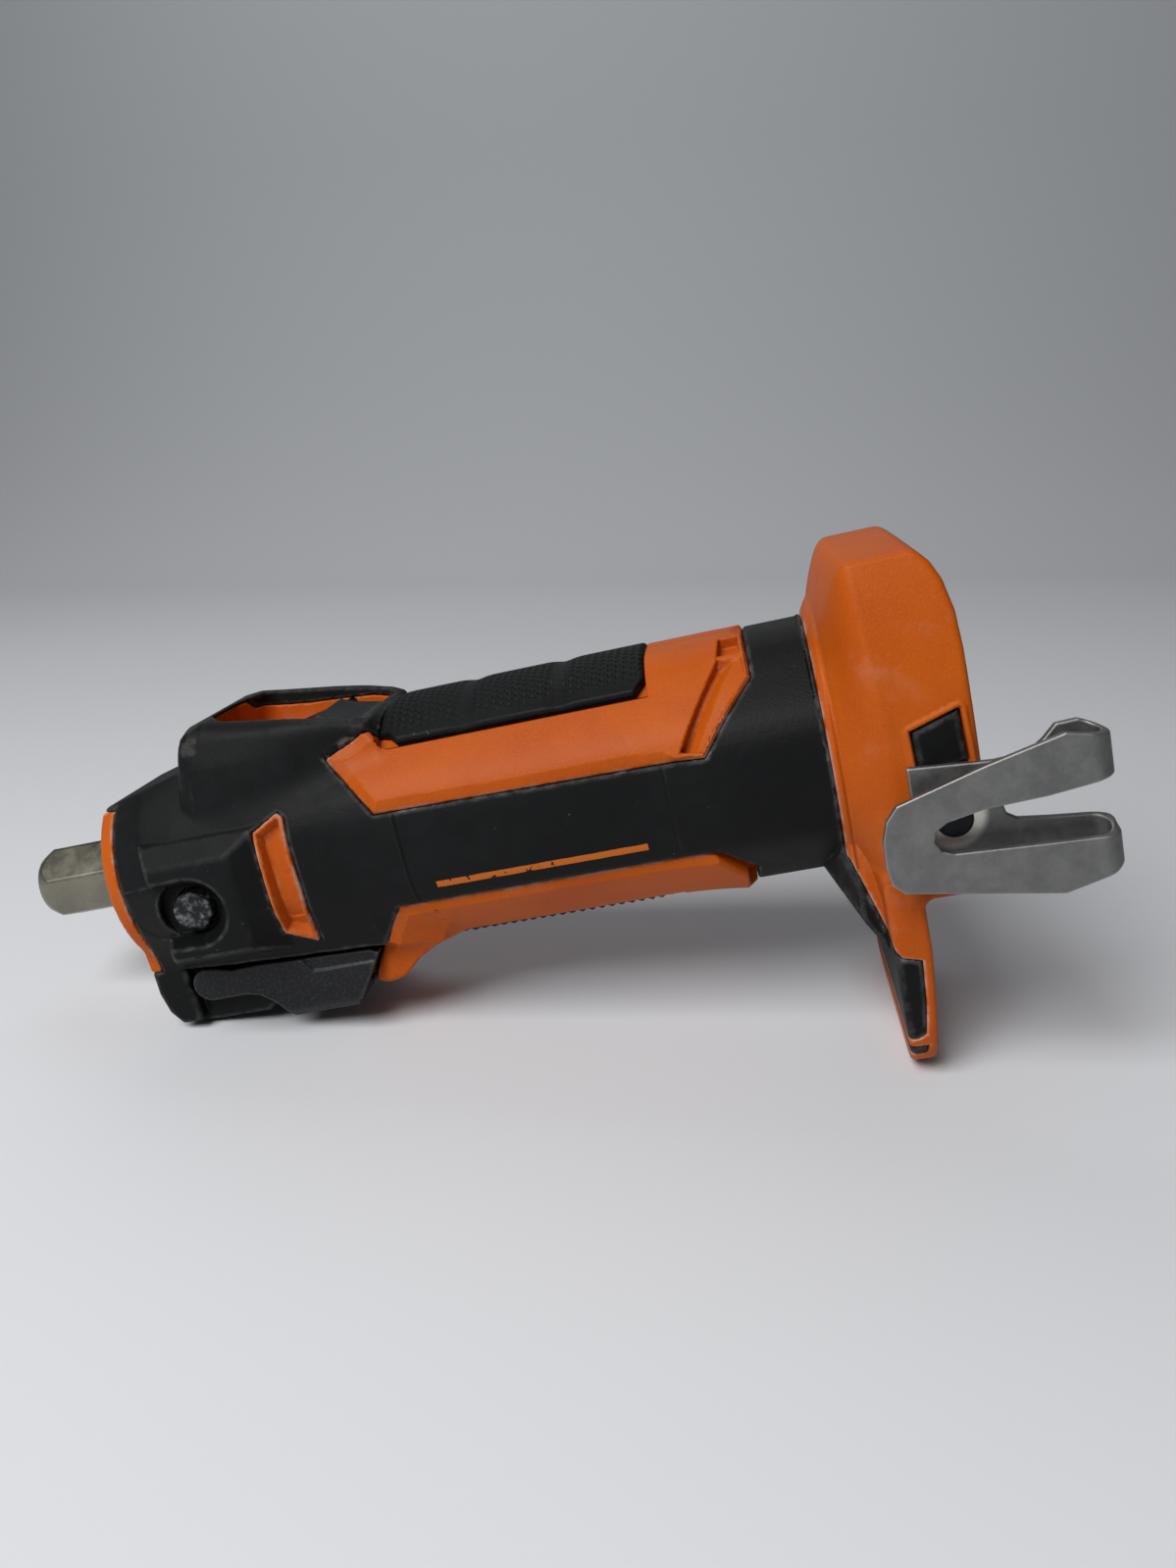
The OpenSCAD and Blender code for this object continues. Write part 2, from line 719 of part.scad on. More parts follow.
// The button's pocket, chamber, spring room and pin guide, from outside in
module lock_bores() {
    translate([lock_x, -guard_y - cut, lock_z]) rotate([-90, 0, 0])
        cylinder(h = guard_y - lock_floor_y + cut, r1 = lock_pocket_r + scoop_flare, r2 = lock_pocket_r);
    block([bracket_x, -guard_y - cut, lock_z - lock_pocket_r],
        [lock_x, -body_r + skin_t, lock_z + lock_pocket_r]);
    bar_y(lock_r + run_gap, lock_x, lock_z, -guard_y, -lock_floor_y + lock_lip + cut);
    bar_y(lock_skirt_r + run_gap, lock_x, lock_z, -lock_floor_y + lock_lip, -lock_room_y);
    bar_y(spring_r + 2 * spring_wire_r + run_gap, lock_x, lock_z, -lock_room_y - cut, -spring_seat_y);
    bar_y(lock_pin_r + turn_gap, lock_x, lock_z, -spring_seat_y - cut, -lock_pin_r);
}

// Everything that leaves the overmould open to the inside or the outside
module skin_cuts() {
    rocker_pocket();
    lock_bores();
    guide_slot();
    screw_holes();
    bar_y(cam_pin_r + turn_gap, lever_x, lever_z, -lever_y - cut, lever_y + cut);
    lever_room();
}

// Room for the lever's rounded ends beside the boss
module lever_room() {
    for (side = [-1, 1])
        bar_y(lever_end_r + 2 * run_gap, lever_x, lever_z, side < 0 ? -far : boss_y, side < 0 ? -boss_y : far);
}

// Slot for the tongue of a depth guide, with room for the clamp pad and cam above it
module guide_slot() {
    block([bracket_x - cut, -tongue_w / 2, tongue_z],
        [bracket_x + tongue_l, tongue_w / 2, tongue_z + tongue_h]);
    block([lever_x - pad_l / 2 - run_gap, -cam_w / 2 - run_gap, tongue_z + tongue_h - cut],
        [lever_x + pad_l / 2 + run_gap, cam_w / 2 + run_gap, lever_z + cam_r + cam_throw + cam_room]);
}

// Bores for the housing screws, with counterbores on the right side
module screw_holes() {
    for (spot = screw_spots) {
        bar_y(screw_r + seat_gap / 2, spot[0], spot[1], -screw_half_l - seat_gap, screw_half_l + cut);
        bar_y(screw_head_r + run_gap, spot[0], spot[1], screw_half_l, far);
    }
}

// Open inside of the barrel, turned about the axis
module barrel_inside() {
    bar_x(cup_r, nose_x - cut, web_x);
    bar_x(web_bore_r, web_x - cut, lock_chamber_x + cut);
    bar_x(lock_chamber_r, lock_chamber_x, bearing_x - bearing_lip);
    bar_x(lip_bore_r, bearing_x - bearing_lip - cut, fan_x);
    bar_x(front_bearing_r + seat_gap / 2, bearing_x, bearing_end);
    bar_x(fan_chamber_r, fan_x - fan_gap, can_x);
    bar_x(can_r + seat_gap, can_x - cut, snug_end);
    bar_x(cavity_r, snug_end, rear_web_x);
    bar_x(rear_bearing_r - rear_shoulder, rear_web_x - cut, rear_web_end + cut);
    bar_x(rear_bearing_r + seat_gap / 2, rear_bearing_x, rear_bearing_x + rear_bearing_w);
    bar_x(cavity_r, rear_web_end, collar_x);
    block([rear_web_x - cut, -rod_w / 2 - run_gap, rod_z - run_gap],
        [rear_web_end + cut, rod_w / 2 + run_gap, rod_z + rod_t + run_gap]);
    for (turn = rear_vent_turns)
        rotate([turn, 0, 0]) translate([0, (rear_bearing_r + cavity_r) / 2, 0])
            bar_x((cavity_r - rear_bearing_r) / 3, rear_web_x - cut, rear_web_end + cut);
}

// Ring that holds the motor's rear end, and the shelves behind it
module inner_ribs() {
    difference() {
        turned([[can_r + seat_gap, can_end - web_t], [cavity_r + cut, can_end - web_t],
            [cavity_r + cut, holder_end], [can_r + seat_gap, holder_end]]);
        block([can_x, -rod_w / 2 - run_gap, 0], [rear_web_end, rod_w / 2 + run_gap, far]);
    }
    intersection() {
        bar_x(cavity_r + cut, rear_web_end - cut, shelf_end);
        union() {
            block([shelf_x, -far, switch_low_z - shelf_t], [shelf_end, far, switch_low_z]);
            block([shelf_x, -far, board_z - shelf_t], [shelf_end, far, board_z]);
        }
    }
}

// Foot before it is hollowed: front view, side view and plan, crossed
module foot_form() {
    waist_z = foot_top_z / 5;
    intersection() {
        union() {
            intersection() {
                along([[-foot_top_y, foot_top_z], [-foot_y, waist_z], [-foot_y, plate_z - cut],
                    [foot_y, plate_z - cut],
                    [foot_y, waist_z], [foot_top_y, foot_top_z]], gusset_x, foot_x);
                turned([[0, gusset_x], [body_r, gusset_x],
                    for (s = funnel_shares) [s[1] * body_r, collar_x + s[0] * fairing_l],
                    [2 * body_r, foot_x + cut], [0, foot_x + cut]]);
            }
            difference() {
                block([gusset_x, -foot_y, foot_low_z], [foot_x, foot_y, plate_z]);
                for (side = [-1, 1])
                    translate([0, side * (foot_y - plate_corner), foot_low_z + plate_corner]) difference() {
                        block([0, side < 0 ? -far : 0, -far], [far, side < 0 ? 0 : far, 0]);
                        bar_x(plate_corner, -cut, far + cut);
                    }
            }
        }
        across([for (s = foot_front_shares) [collar_x + s[0] * fairing_l, s[1] * foot_top_z],
            for (s = foot_rear_shares) [foot_x - s[0] * rear_chamfer, foot_top_z - s[1] * rear_chamfer],
            [foot_x, plate_z], [plate_end, plate_z - plate_t / 3], [plate_end, foot_low_z],
            [plate_x, foot_low_z], [plate_x, plate_z - 2 * plate_t], [gusset_x, plate_z + plate_t / 2],
            [gusset_x, 0]], -far, far);
        translate([0, 0, -far]) linear_extrude(height = 2 * far)
            for (side = [-1, 1])
                polygon([[gusset_x, 0], [gusset_x, side * gusset_y],
                    for (s = foot_plan_shares) [collar_x + s[0] * fairing_l, side * s[1] * body_r],
                    [collar_x + fairing_l, side * foot_y], [foot_x + cut, side * foot_y], [foot_x + cut, 0]]);
    }
}

// Battery channel with its rail lips, the foot's inside, and the recesses in its sides
module foot_cuts() {
    block([channel_x, -channel_y, foot_low_z - cut], [lip_front, channel_y, channel_top_z]);
    block([channel_x, rail_reach - channel_y, foot_low_z - cut],
        [foot_x + cut, channel_y - rail_reach, channel_top_z]);
    bar_x(cavity_r, collar_x - cut, channel_x - foot_room_wall);
    block([collar_x, -block_w / 4, block_z], [channel_x + cut, block_w / 4, block_z + block_h / 2]);
    for (side = [-1, 1]) {
        bar_y(insert_r + seat_gap / 2, hook_screw_x, hook_screw_z,
            side < 0 ? -foot_y - cut : foot_y - insert_l, side < 0 ? insert_l - foot_y : foot_y + cut);
        across(bumper_outline(0), side < 0 ? -far : foot_y - bumper_t, side < 0 ? bumper_t - foot_y : far);
    }
}

// Outline of a side bumper, drawn in by g, from shares of the foot's length and height
function bumper_outline(g) = let (tall = foot_top_z - foot_low_z)
    [for (s = bumper_shares) [collar_x + s[0] * foot_l + (s[0] < 0.75 ? g : -g),
        s[1] * tall + (s[1] > 0.05 ? -g : g)]];

// The volume that the overmould fills, before it is split
module skin_volume() {
    difference() {
        union() {
            difference() {
                form(0);
                form(skin_t);
                bare_panels();
            }
            lock_guard();
        }
        skin_cuts();
    }
}

// One half of the housing
module housing(side) {
    difference() {
        intersection() {
            union() {
                difference() {
                    union() {
                        form(0);
                        foot_form();
                    }
                    barrel_inside();
                    foot_cuts();
                }
                inner_ribs();
            }
            half(side);
        }
        difference() {
            form(0);
            form(skin_t);
            bare_panels();
        }
        lock_guard();
        skin_cuts();
        grip_seat(top_grip_l, top_grip_y, 1);
        grip_seat(low_grip_l, low_grip_y, -1);
        vents();
    }
}

// Vents of the housing: recesses of the nose vents and louvres, each with a slit, and the lower slots
module vents() {
    slit_x = vent_x + vent_w - vent_lean / 3 - vent_rim / 2 - vent_slit;
    front_x = louvre_rim - louvre_w / 2;
    difference() {
        across(vent_outline(-vent_rim), -far, far);
        bar_x(body_r - vent_depth, 0, far);
    }
    difference() {
        across([[slit_x, vent_low_z + vent_lean], [slit_x + vent_slit, vent_low_z + vent_lean],
            [slit_x + vent_slit, vent_top_z - vent_lean], [slit_x, vent_top_z - vent_lean]], -far, far);
        bar_x(fan_chamber_r - cut, 0, far);
    }
    difference() {
        across(louvre_outline(-louvre_rim), -far, far);
        bar_x(body_r - louvre_depth, 0, far);
    }
    difference() {
        across([[louvre_low_x + front_x, louvre_low_z + louvre_rim],
            [louvre_low_x + front_x + louvre_slit, louvre_low_z + louvre_rim],
            [louvre_top_x + front_x + louvre_slit, louvre_top_z - louvre_rim],
            [louvre_top_x + front_x, louvre_top_z - louvre_rim]], -far, far);
        bar_x(cavity_r - cut, 0, far);
    }
    difference() {
        across([[band_rear_x - louvre_w, band_top_z - skin_t], [band_rear_x, band_top_z - skin_t],
            [band_back_x - louvre_rim, band_foot_z], [band_back_x - louvre_w, band_foot_z]], -far, far);
        bar_x(cavity_r - cut, 0, far);
    }
}

// Seat of a grip, cut into the top (up = 1) or the bottom (up = -1) of the handle
module grip_seat(l, y, up) {
    difference() {
        block([grip_x - seat_gap, -y - seat_gap, up > 0 ? 0 : -far],
            [grip_x + l + seat_gap, y + seat_gap, up > 0 ? far : 0]);
        bar_x(body_r - grip_t + grip_t / 4, 0, far);
    }
}

// A grip: a curved rubber pad in its seat
module grip(l, y, up) {
    intersection() {
        turned([[body_r - grip_t * 3 / 4 + seat_gap, grip_x], [body_r + grip_t / 5, grip_x],
            [body_r + grip_t / 4, grip_x + l], [body_r - grip_t * 3 / 4 + seat_gap, grip_x + l]]);
        block([0, -y, up > 0 ? 0 : -far], [far, y, up > 0 ? far : 0]);
    }
}

module housing_left() {
    color("darkorange") housing(-1);
}

module housing_right() {
    color("darkorange") housing(1);
}

module overmould_left() {
    color("dimgray") intersection() {
        skin_volume();
        half(-1);
    }
}

module overmould_right() {
    color("dimgray") intersection() {
        skin_volume();
        half(1);
    }
}

module top_grip() {
    color("dimgray") grip(top_grip_l, top_grip_y, 1);
}

module bottom_grip() {
    color("dimgray") grip(low_grip_l, low_grip_y, -1);
}

// Rubber bumper let into each side of the foot
module side_bumper(side) {
    across(bumper_outline(seat_gap), side < 0 ? -foot_y : foot_y - bumper_t + seat_gap,
        side < 0 ? bumper_t - foot_y - seat_gap : foot_y);
}

module side_bumper_left() {
    color("dimgray") side_bumper(-1);
}

module side_bumper_right() {
    color("dimgray") side_bumper(1);
}

// Rocker with a middle ridge, hollow-faced on both sides, and a tab that drives the rod
module switch_rocker() {
    low = rocker_z - pocket_z - 3 * run_gap;
    color("dimgray") difference() {
        translate([rocker_x, 0, rocker_z]) union() {
            across([[-rocker_l / 2, -low / 3], [-rocker_l / 2, low / 3], [-rocker_l / 3, low / 4],
                [-rocker_l / 6, rocker_ridge / 2], [0, rocker_ridge], [rocker_l / 6, rocker_ridge / 2],
                [rocker_l / 3, low / 4], [rocker_l / 2, low / 3], [rocker_l / 2, -low / 3],
                [rocker_l / 5, -low], [-rocker_l / 5, -low]], -rocker_w / 2, rocker_w / 2);
            block([-tab_l / 2, -tab_w / 2, -tab_reach], [tab_l / 2, tab_w / 2, 0]);
        }
        bar_y(rocker_pin_r + turn_gap, rocker_x, rocker_z, -rocker_w, rocker_w);
    }
}

module rocker_pin() {
    color("silver") bar_y(rocker_pin_r, rocker_x, rocker_z, -pocket_y, pocket_y);
}

// Flat rod from the rocker's tab to the switch
module switch_rod() {
    color("ivory") difference() {
        block([rod_x, -rod_w / 2, rod_z], [rod_end, rod_w / 2, rod_z + rod_t]);
        block([rocker_x - tab_l / 2 - notch_gap, -tab_w / 2 - run_gap, rod_z - cut],
            [rocker_x + tab_l / 2 + notch_gap, tab_w / 2 + run_gap, rod_z + rod_t + cut]);
    }
}

// Sealed switch on its shelf, with a slot that takes the rod's end
module switch_body() {
    color("dimgray") difference() {
        union() {
            block([switch_x, -switch_w / 2, switch_low_z], [switch_x + switch_l, switch_w / 2, switch_top_z]);
            block([switch_x, -rod_w, switch_top_z - cut], [switch_x + switch_l / 3, rod_w, switch_neck_z]);
        }
        block([switch_x - cut, -rod_w / 2 - run_gap, rod_z - run_gap],
            [switch_x + switch_slot_l, rod_w / 2 + run_gap, switch_neck_z + cut]);
    }
}

module lock_button() {
    color("black") difference() {
        union() {
            bar_y(lock_r, lock_x, lock_z, -lock_cap_y, -lock_floor_y + lock_lip + run_gap / 2);
            bar_y(lock_skirt_r, lock_x, lock_z, -lock_floor_y + lock_lip + run_gap / 2,
                -lock_floor_y + lock_lip + run_gap / 2 + lock_skirt_t);
        }
        bar_y(lock_pin_r + turn_gap / 2, lock_x, lock_z, -lock_pin_out, 0);
    }
}

module lock_pin() {
    color("silver") bar_y(lock_pin_r, lock_x, lock_z, -lock_pin_out, -lock_pin_in);
}

// A coil of round wire as one tube: rings of points carried round a helix along the pin
spring_steps = 12;
spring_sides = 6;
spring_low_y = -lock_floor_y + lock_lip + run_gap / 2 + lock_skirt_t + spring_wire_r + seat_gap;
spring_high_y = -spring_seat_y - spring_wire_r - seat_gap;
function spring_point(turn) = [spring_r * cos(360 * turn),
    spring_low_y + (spring_high_y - spring_low_y) * turn / spring_turns, spring_r * sin(360 * turn)];
function spring_ring(turn) = let (out = [cos(360 * turn), 0, sin(360 * turn)])
    [for (k = [0 : spring_sides - 1]) let (a = 360 * k / spring_sides)
        spring_point(turn) + spring_wire_r * (cos(a) * out + sin(a) * [0, 1, 0])];
module lock_spring() {
    rings = spring_turns * spring_steps;
    points = [for (i = [0 : rings]) each spring_ring(i / spring_steps)];
    sides = [for (i = [0 : rings - 1], k = [0 : spring_sides - 1])
        let (a = i * spring_sides + k, b = i * spring_sides + (k + 1) % spring_sides)
        each [[a, b, b + spring_sides], [a, b + spring_sides, a + spring_sides]]];
    first = [for (k = [1 : spring_sides - 2]) [0, k + 1, k]];
    last = [for (k = [1 : spring_sides - 2]) [0, k, k + 1] + rings * spring_sides * [1, 1, 1]];
    color("silver") translate([lock_x, 0, lock_z])
        polyhedron(points = points, faces = concat(sides, first, last));
}

// Side outline of the lever's arms, from shares of its length and height
lever_outline = [for (s = lever_outline_shares) [lever_x + s[0] * lever_l, lever_z + s[1] * lever_h]];

// U-shaped lever: an arm on each side of the boss and a paddle under it
module guide_lever() {
    paddle_z = bracket_z + boss_lift - run_gap;
    color("dimgray") {
        difference() {
            union() {
                for (side = [-1, 1]) {
                    y0 = side < 0 ? -lever_y : boss_y + run_gap;
                    y1 = side < 0 ? -boss_y - run_gap : lever_y;
                    across(lever_outline, y0, y1);
                    bar_y(lever_end_r, lever_x, lever_z, y0, y1);
                }
                along([[-lever_y, paddle_z], [-lever_y, paddle_z - paddle_t / 2],
                    [paddle_chamfer - lever_y, paddle_z - paddle_t],
                    [lever_y - paddle_chamfer, paddle_z - paddle_t], [lever_y, paddle_z - paddle_t / 2],
                    [lever_y, paddle_z]], paddle_x, paddle_end);
            }
            bar_y(cam_pin_r + turn_gap / 2, lever_x, lever_z, -lever_y - cut, lever_y + cut);
        }
    }
}

// Pin that carries the lever through the boss, with the cam that presses the pad at its middle
module cam_pin() {
    color("silver") {
        bar_y(cam_pin_r, lever_x, lever_z, -lever_y, lever_y);
        bar_y(cam_r, lever_x, lever_z - cam_throw, -cam_w / 2, cam_w / 2);
    }
}

// Steel pad that presses on a depth guide's tongue
module clamp_pad() {
    color("silver")
        block([lever_x - pad_l / 2, -cam_w / 2, pad_top_z - pad_h],
            [lever_x + pad_l / 2, cam_w / 2, pad_top_z]);
}

// Long hex nut with a chamfered mouth
nut_turn = 11;
nut_chamfer = 1;
nut_corner_r = nut_af / sqrt(3);
mouth_step = 0.5;
mouth_r = collet_r - mouth_step;
mouth_l = 1;
cone_end = mouth_l + thread_r - collet_r + mouth_step;
module collet_nut() {
    color("lightgray") difference() {
        intersection() {
            rotate([nut_turn, 0, 0]) rotate([0, 90, 0]) cylinder(h = nut_l, r = nut_corner_r, $fn = 6);
            turned([[0, 0], [nut_af / 2 - nut_chamfer, 0], [nut_corner_r, nut_af / 8], [nut_corner_r, nut_l],
                [0, nut_l]]);
        }
        turned([[0, -cut], [mouth_r, -cut], [mouth_r, mouth_l], [thread_r + turn_gap, cone_end],
            [thread_r + turn_gap, nut_l + cut], [0, nut_l + cut]]);
    }
}

// Slit collet: a cone in the nut's mouth and a shank in the spindle's bore
collet_land = 0.8;
module collet() {
    lip = mouth_r - 2 * turn_gap;
    brim = thread_r - 2 * mouth_step;
    color("gray") difference() {
        turned([[0, 0], [lip, 0], [lip, mouth_l], [brim, cone_end], [brim, cone_end + collet_land],
            [collet_r, cone_end + collet_land], [collet_r, collet_l], [0, collet_l]]);
        bar_x(shank_r, -cut, collet_l + cut);
        for (turn = [0, 90])
            rotate([turn, 0, 0]) block([-cut, -slit_w / 2, -far], [collet_l * slit_share, slit_w / 2, far]);
    }
}

// Spindle: threaded nose, lock flange with four holes, shaft through the motor
spindle_x = cone_end + collet_land + run_gap;
spindle_end = rear_bearing_x + rear_bearing_w + rear_lip / 2;
thread_end = nut_l + run_gap;
bore_play = 2;
lock_hole_depth = 4;
module spindle() {
    flange_x = lock_x - flange_half_l;
    flange_end = lock_x + flange_half_l;
    color("silver") difference() {
        turned([[0, spindle_x], [thread_r, spindle_x], [thread_r, thread_end], [neck_r, thread_end],
            [neck_r, flange_x], [flange_r, flange_x], [flange_r, flange_end], [neck_r, flange_end],
            [neck_r, bearing_x - seat_gap / 5], [front_shaft_r, bearing_x - seat_gap / 5],
            [front_shaft_r, rear_web_x], [rear_shaft_r, rear_web_x], [rear_shaft_r, spindle_end],
            [0, spindle_end]]);
        bar_x(collet_r + turn_gap, 0, collet_l + bore_play);
        for (turn = [0 : 90 : 270])
            rotate([turn, 0, 0])
                bar_y(lock_pin_r + run_gap, lock_x, lock_z, -flange_r - cut, lock_hole_depth - flange_r);
    }
}

// Ball bearing rings and balls, for an outside radius, bore, width and place
function ball_r(r, bore) = (r - bore) * ball_share;
function pitch_r(r, bore) = (r + bore) / 2;
module race(r, bore, w, x, inner, outer) {
    difference() {
        turned([[inner, x], [outer, x], [outer, x + w], [inner, x + w]]);
        translate([x + w / 2, 0, 0]) rotate([0, 90, 0]) rotate_extrude()
            translate([pitch_r(r, bore), 0]) circle(r = ball_r(r, bore) + seat_gap);
    }
}
module outer_race(r, bore, w, x) {
    color("silver") race(r, bore, w, x, pitch_r(r, bore) + ball_r(r, bore) * race_share, r);
}
module inner_race(r, bore, w, x) {
    color("silver") race(r, bore, w, x, bore + seat_gap / 5, pitch_r(r, bore) - ball_r(r, bore) * race_share);
}
module balls(r, bore, w, x, count) {
    color("white") for (k = [0 : count - 1])
        rotate([360 * k / count, 0, 0]) translate([x + w / 2, pitch_r(r, bore), 0])
            sphere(r = ball_r(r, bore));
}

module front_bearing_outer() {
    outer_race(front_bearing_r, front_shaft_r, front_bearing_w, bearing_x);
}

module front_bearing_inner() {
    inner_race(front_bearing_r, front_shaft_r, front_bearing_w, bearing_x);
}

module front_bearing_balls() {
    balls(front_bearing_r, front_shaft_r, front_bearing_w, bearing_x, 7);
}

module rear_bearing_outer() {
    outer_race(rear_bearing_r, rear_shaft_r, rear_bearing_w, rear_bearing_x);
}

module rear_bearing_inner() {
    inner_race(rear_bearing_r, rear_shaft_r, rear_bearing_w, rear_bearing_x);
}

module rear_bearing_balls() {
    balls(rear_bearing_r, rear_shaft_r, rear_bearing_w, rear_bearing_x, 7);
}

// Laminated armature core with winding slots
module armature() {
    color("dimgray") difference() {
        bar_x(armature_r, armature_x, armature_end);
        bar_x(front_shaft_r + seat_gap / 5, armature_x - cut, armature_end + cut);
        for (k = [0 : slots - 1])
            rotate([360 * k / slots, 0, 0])
                block([armature_x - cut, -slot_w / 2, slot_r], [armature_end + cut, slot_w / 2, far]);
    }
}

// Copper windings: a bar in each slot and a ring of end turns at both ends
module windings() {
    inner = winding_r - winding_bore_wall;
    color("chocolate") {
        for (k = [0 : slots - 1])
            rotate([360 * k / slots, 0, 0])
                block([armature_x - cut, -slot_w / 2 + seat_gap, slot_r + seat_gap],
                    [armature_end + cut, slot_w / 2 - seat_gap, winding_r]);
        for (x = [armature_x - winding_l - seat_gap, armature_end + seat_gap])
            turned([[inner, x], [winding_r - winding_round, x], [winding_r, x + winding_l / 2],
                [winding_r - winding_round, x + winding_l], [inner, x + winding_l]]);
    }
}

// Copper commutator with slits between its bars
module commutator() {
    color("peru") difference() {
        bar_x(commutator_r, commutator_x, commutator_x + commutator_l);
        bar_x(front_shaft_r + seat_gap / 5, commutator_x - cut, commutator_x + commutator_l + cut);
        for (k = [0 : slots - 1])
            rotate([360 * (k + 0.5) / slots, 0, 0])
                block([commutator_x - cut, -slit_w / 2, commutator_r - slit_depth], [far, slit_w / 2, far]);
    }
}

// Radial fan: hub, back plate and straight blades
module cooling_fan() {
    hub_r = front_shaft_r + fan_hub_wall;
    color("dimgray") difference() {
        union() {
            bar_x(hub_r, fan_x + fan_gap, fan_end);
            bar_x(fan_r, fan_end - fan_plate_t, fan_end);
            for (k = [0 : fan_blades - 1])
                rotate([360 * k / fan_blades, 0, 0])
                    block([fan_x + fan_blade_gap, -fan_blade_t / 2, hub_r - cut],
                        [fan_end, fan_blade_t / 2, fan_r - fan_plate_t / 2]);
        }
        bar_x(front_shaft_r + seat_gap / 5, fan_x, fan_end + cut);
    }
}

// Steel motor can, closed at the front but for the shaft and its air holes
module motor_can() {
    color("silver") difference() {
        bar_x(can_r, can_x, can_end);
        bar_x(magnet_r, can_x + can_wall, can_end + cut);
        bar_x(front_shaft_r + can_bore_gap, can_x - cut, can_x + can_wall + cut);
        for (turn = [0 : 60 : 300])
            rotate([turn, 0, 0]) translate([0, (magnet_r + front_shaft_r) / 2, 0])
                bar_x(can_hole_r, can_x - cut, can_x + can_wall + cut);
    }
}

// Two curved magnets inside the can
module magnets() {
    color("dimgray") for (turn = [0, 180])
        rotate([0, 90, 0]) rotate([0, 0, turn - magnet_span / 2]) rotate_extrude(angle = magnet_span)
            polygon([[magnet_r - magnet_t, armature_x], [magnet_r - seat_gap / 2, armature_x],
                [magnet_r - seat_gap / 2, armature_end], [magnet_r - magnet_t, armature_end]]);
}

// Brush carrier on the can's open end, with a guide on each side
brush_w = 5;
brush_h = 7;
brush_back_wall = 4;
brush_out = can_r - brush_back_wall;
module brush_holder() {
    color("dimgray") difference() {
        turned([[commutator_r + brush_bore_gap, can_end], [can_r, can_end], [can_r, holder_end],
            [commutator_r + brush_bore_gap, holder_end]]);
        block([can_end + brush_wall, -brush_out, -brush_h / 2],
            [can_end + brush_wall + brush_w + seat_gap, brush_out, brush_h / 2]);
    }
}

// Two carbon brushes on the commutator
module brushes() {
    tip = commutator_r + run_gap;
    tail = brush_out - seat_gap;
    front = can_end + brush_wall + seat_gap / 2;
    half_h = (brush_h - seat_gap) / 2;
    color("black") for (side = [-1, 1])
        block([front, side < 0 ? -tail : tip, -half_h], [front + brush_w, side < 0 ? -tip : tail, half_h]);
}

module circuit_board() {
    color("darkgreen")
        block([board_x, -board_w / 2, board_z], [board_x + board_l, board_w / 2, board_z + board_t]);
}

// Finned heat sink on the board
module heat_sink() {
    low = board_z + board_t;
    step = (sink_w - fin_t) / (sink_fins - 1);
    color("silver") {
        block([sink_x, -sink_w / 2, low], [sink_x + sink_l, sink_w / 2, low + sink_base]);
        for (k = [0 : sink_fins - 1])
            translate([0, k * step - sink_w / 2, 0])
                block([sink_x, 0, low], [sink_x + sink_l, fin_t, low + sink_h]);
    }
}

// Block at the top of the battery channel that holds the contact blades
module terminal_block() {
    color("dimgray")
        block([channel_x, -block_w / 2, block_z], [channel_x + block_l, block_w / 2, block_z + block_h]);
}

module contact_blades() {
    mid = channel_x + block_l / 2;
    color("gold") for (k = [0 : blades - 1])
        translate([0, (k - (blades - 1) / 2) * blade_pitch, 0])
            block([mid - blade_l / 2, -blade_t / 2, block_z - blade_drop],
                [mid + blade_l / 2, blade_t / 2, block_z]);
}

// Side outline of the hook's strap, from shares of its length and height
hook_outline = [for (s = hook_outline_shares)
    [hook_x + s[0] * hook_l, hook_top_z - hook_h + s[1] * hook_h]];

// Strap hook: a fork-shaped outer leaf, folded at both prong ends into the leaf on the foot
module belt_hook() {
    screw_bore = hook_screw_r + run_gap / 2;
    mid_y = (hook_in_y + hook_out_y + strap_t) / 2;
    color("gray") difference() {
        union() {
            intersection() {
                across(hook_outline, -far, far);
                union() {
                    block([hook_x - cut, -hook_out_y - strap_t, -far], [bend_x, -hook_out_y, far]);
                    block([leaf_x, -hook_in_y - strap_t, -far], [bend_x, -hook_in_y, far]);
                    translate([bend_x, -mid_y, -hook_h]) intersection() {
                        difference() {
                            cylinder(h = 2 * hook_h, r = bend_r);
                            translate([0, 0, -cut]) cylinder(h = 2 * hook_h + 2 * cut, r = bend_r - strap_t);
                        }
                        block([0, -far, -far], [far, far, far]);
                    }
                }
            }
            block([leaf_x, -hook_in_y - strap_t, hook_screw_z - leaf_half_h],
                [leaf_x + 2 * leaf_half_h, -hook_in_y, hook_screw_z + leaf_half_h]);
        }
        bar_y(screw_bore, hook_screw_x, hook_screw_z, -hook_out_y, 0);
    }
}

module hook_screw() {
    head_y = hook_in_y + strap_t;
    color("black") {
        bar_y(pan_head_r, hook_screw_x, hook_screw_z, -head_y - pan_head_l, -head_y);
        bar_y(screw_core_r - turn_gap, hook_screw_x, hook_screw_z, -head_y - pan_head_l / 2,
            insert_l - foot_y);
    }
}

// Threaded brass inserts, one in each side of the foot
module hook_inserts() {
    color("gold") for (side = [-1, 1])
        difference() {
            bar_y(insert_r, hook_screw_x, hook_screw_z, side < 0 ? -foot_y : foot_y - insert_l,
                side < 0 ? insert_l - foot_y : foot_y);
            bar_y(screw_core_r, hook_screw_x, hook_screw_z, side < 0 ? -foot_y - cut : foot_y - insert_l - cut,
                side < 0 ? insert_l - foot_y + cut : foot_y + cut);
        }
}

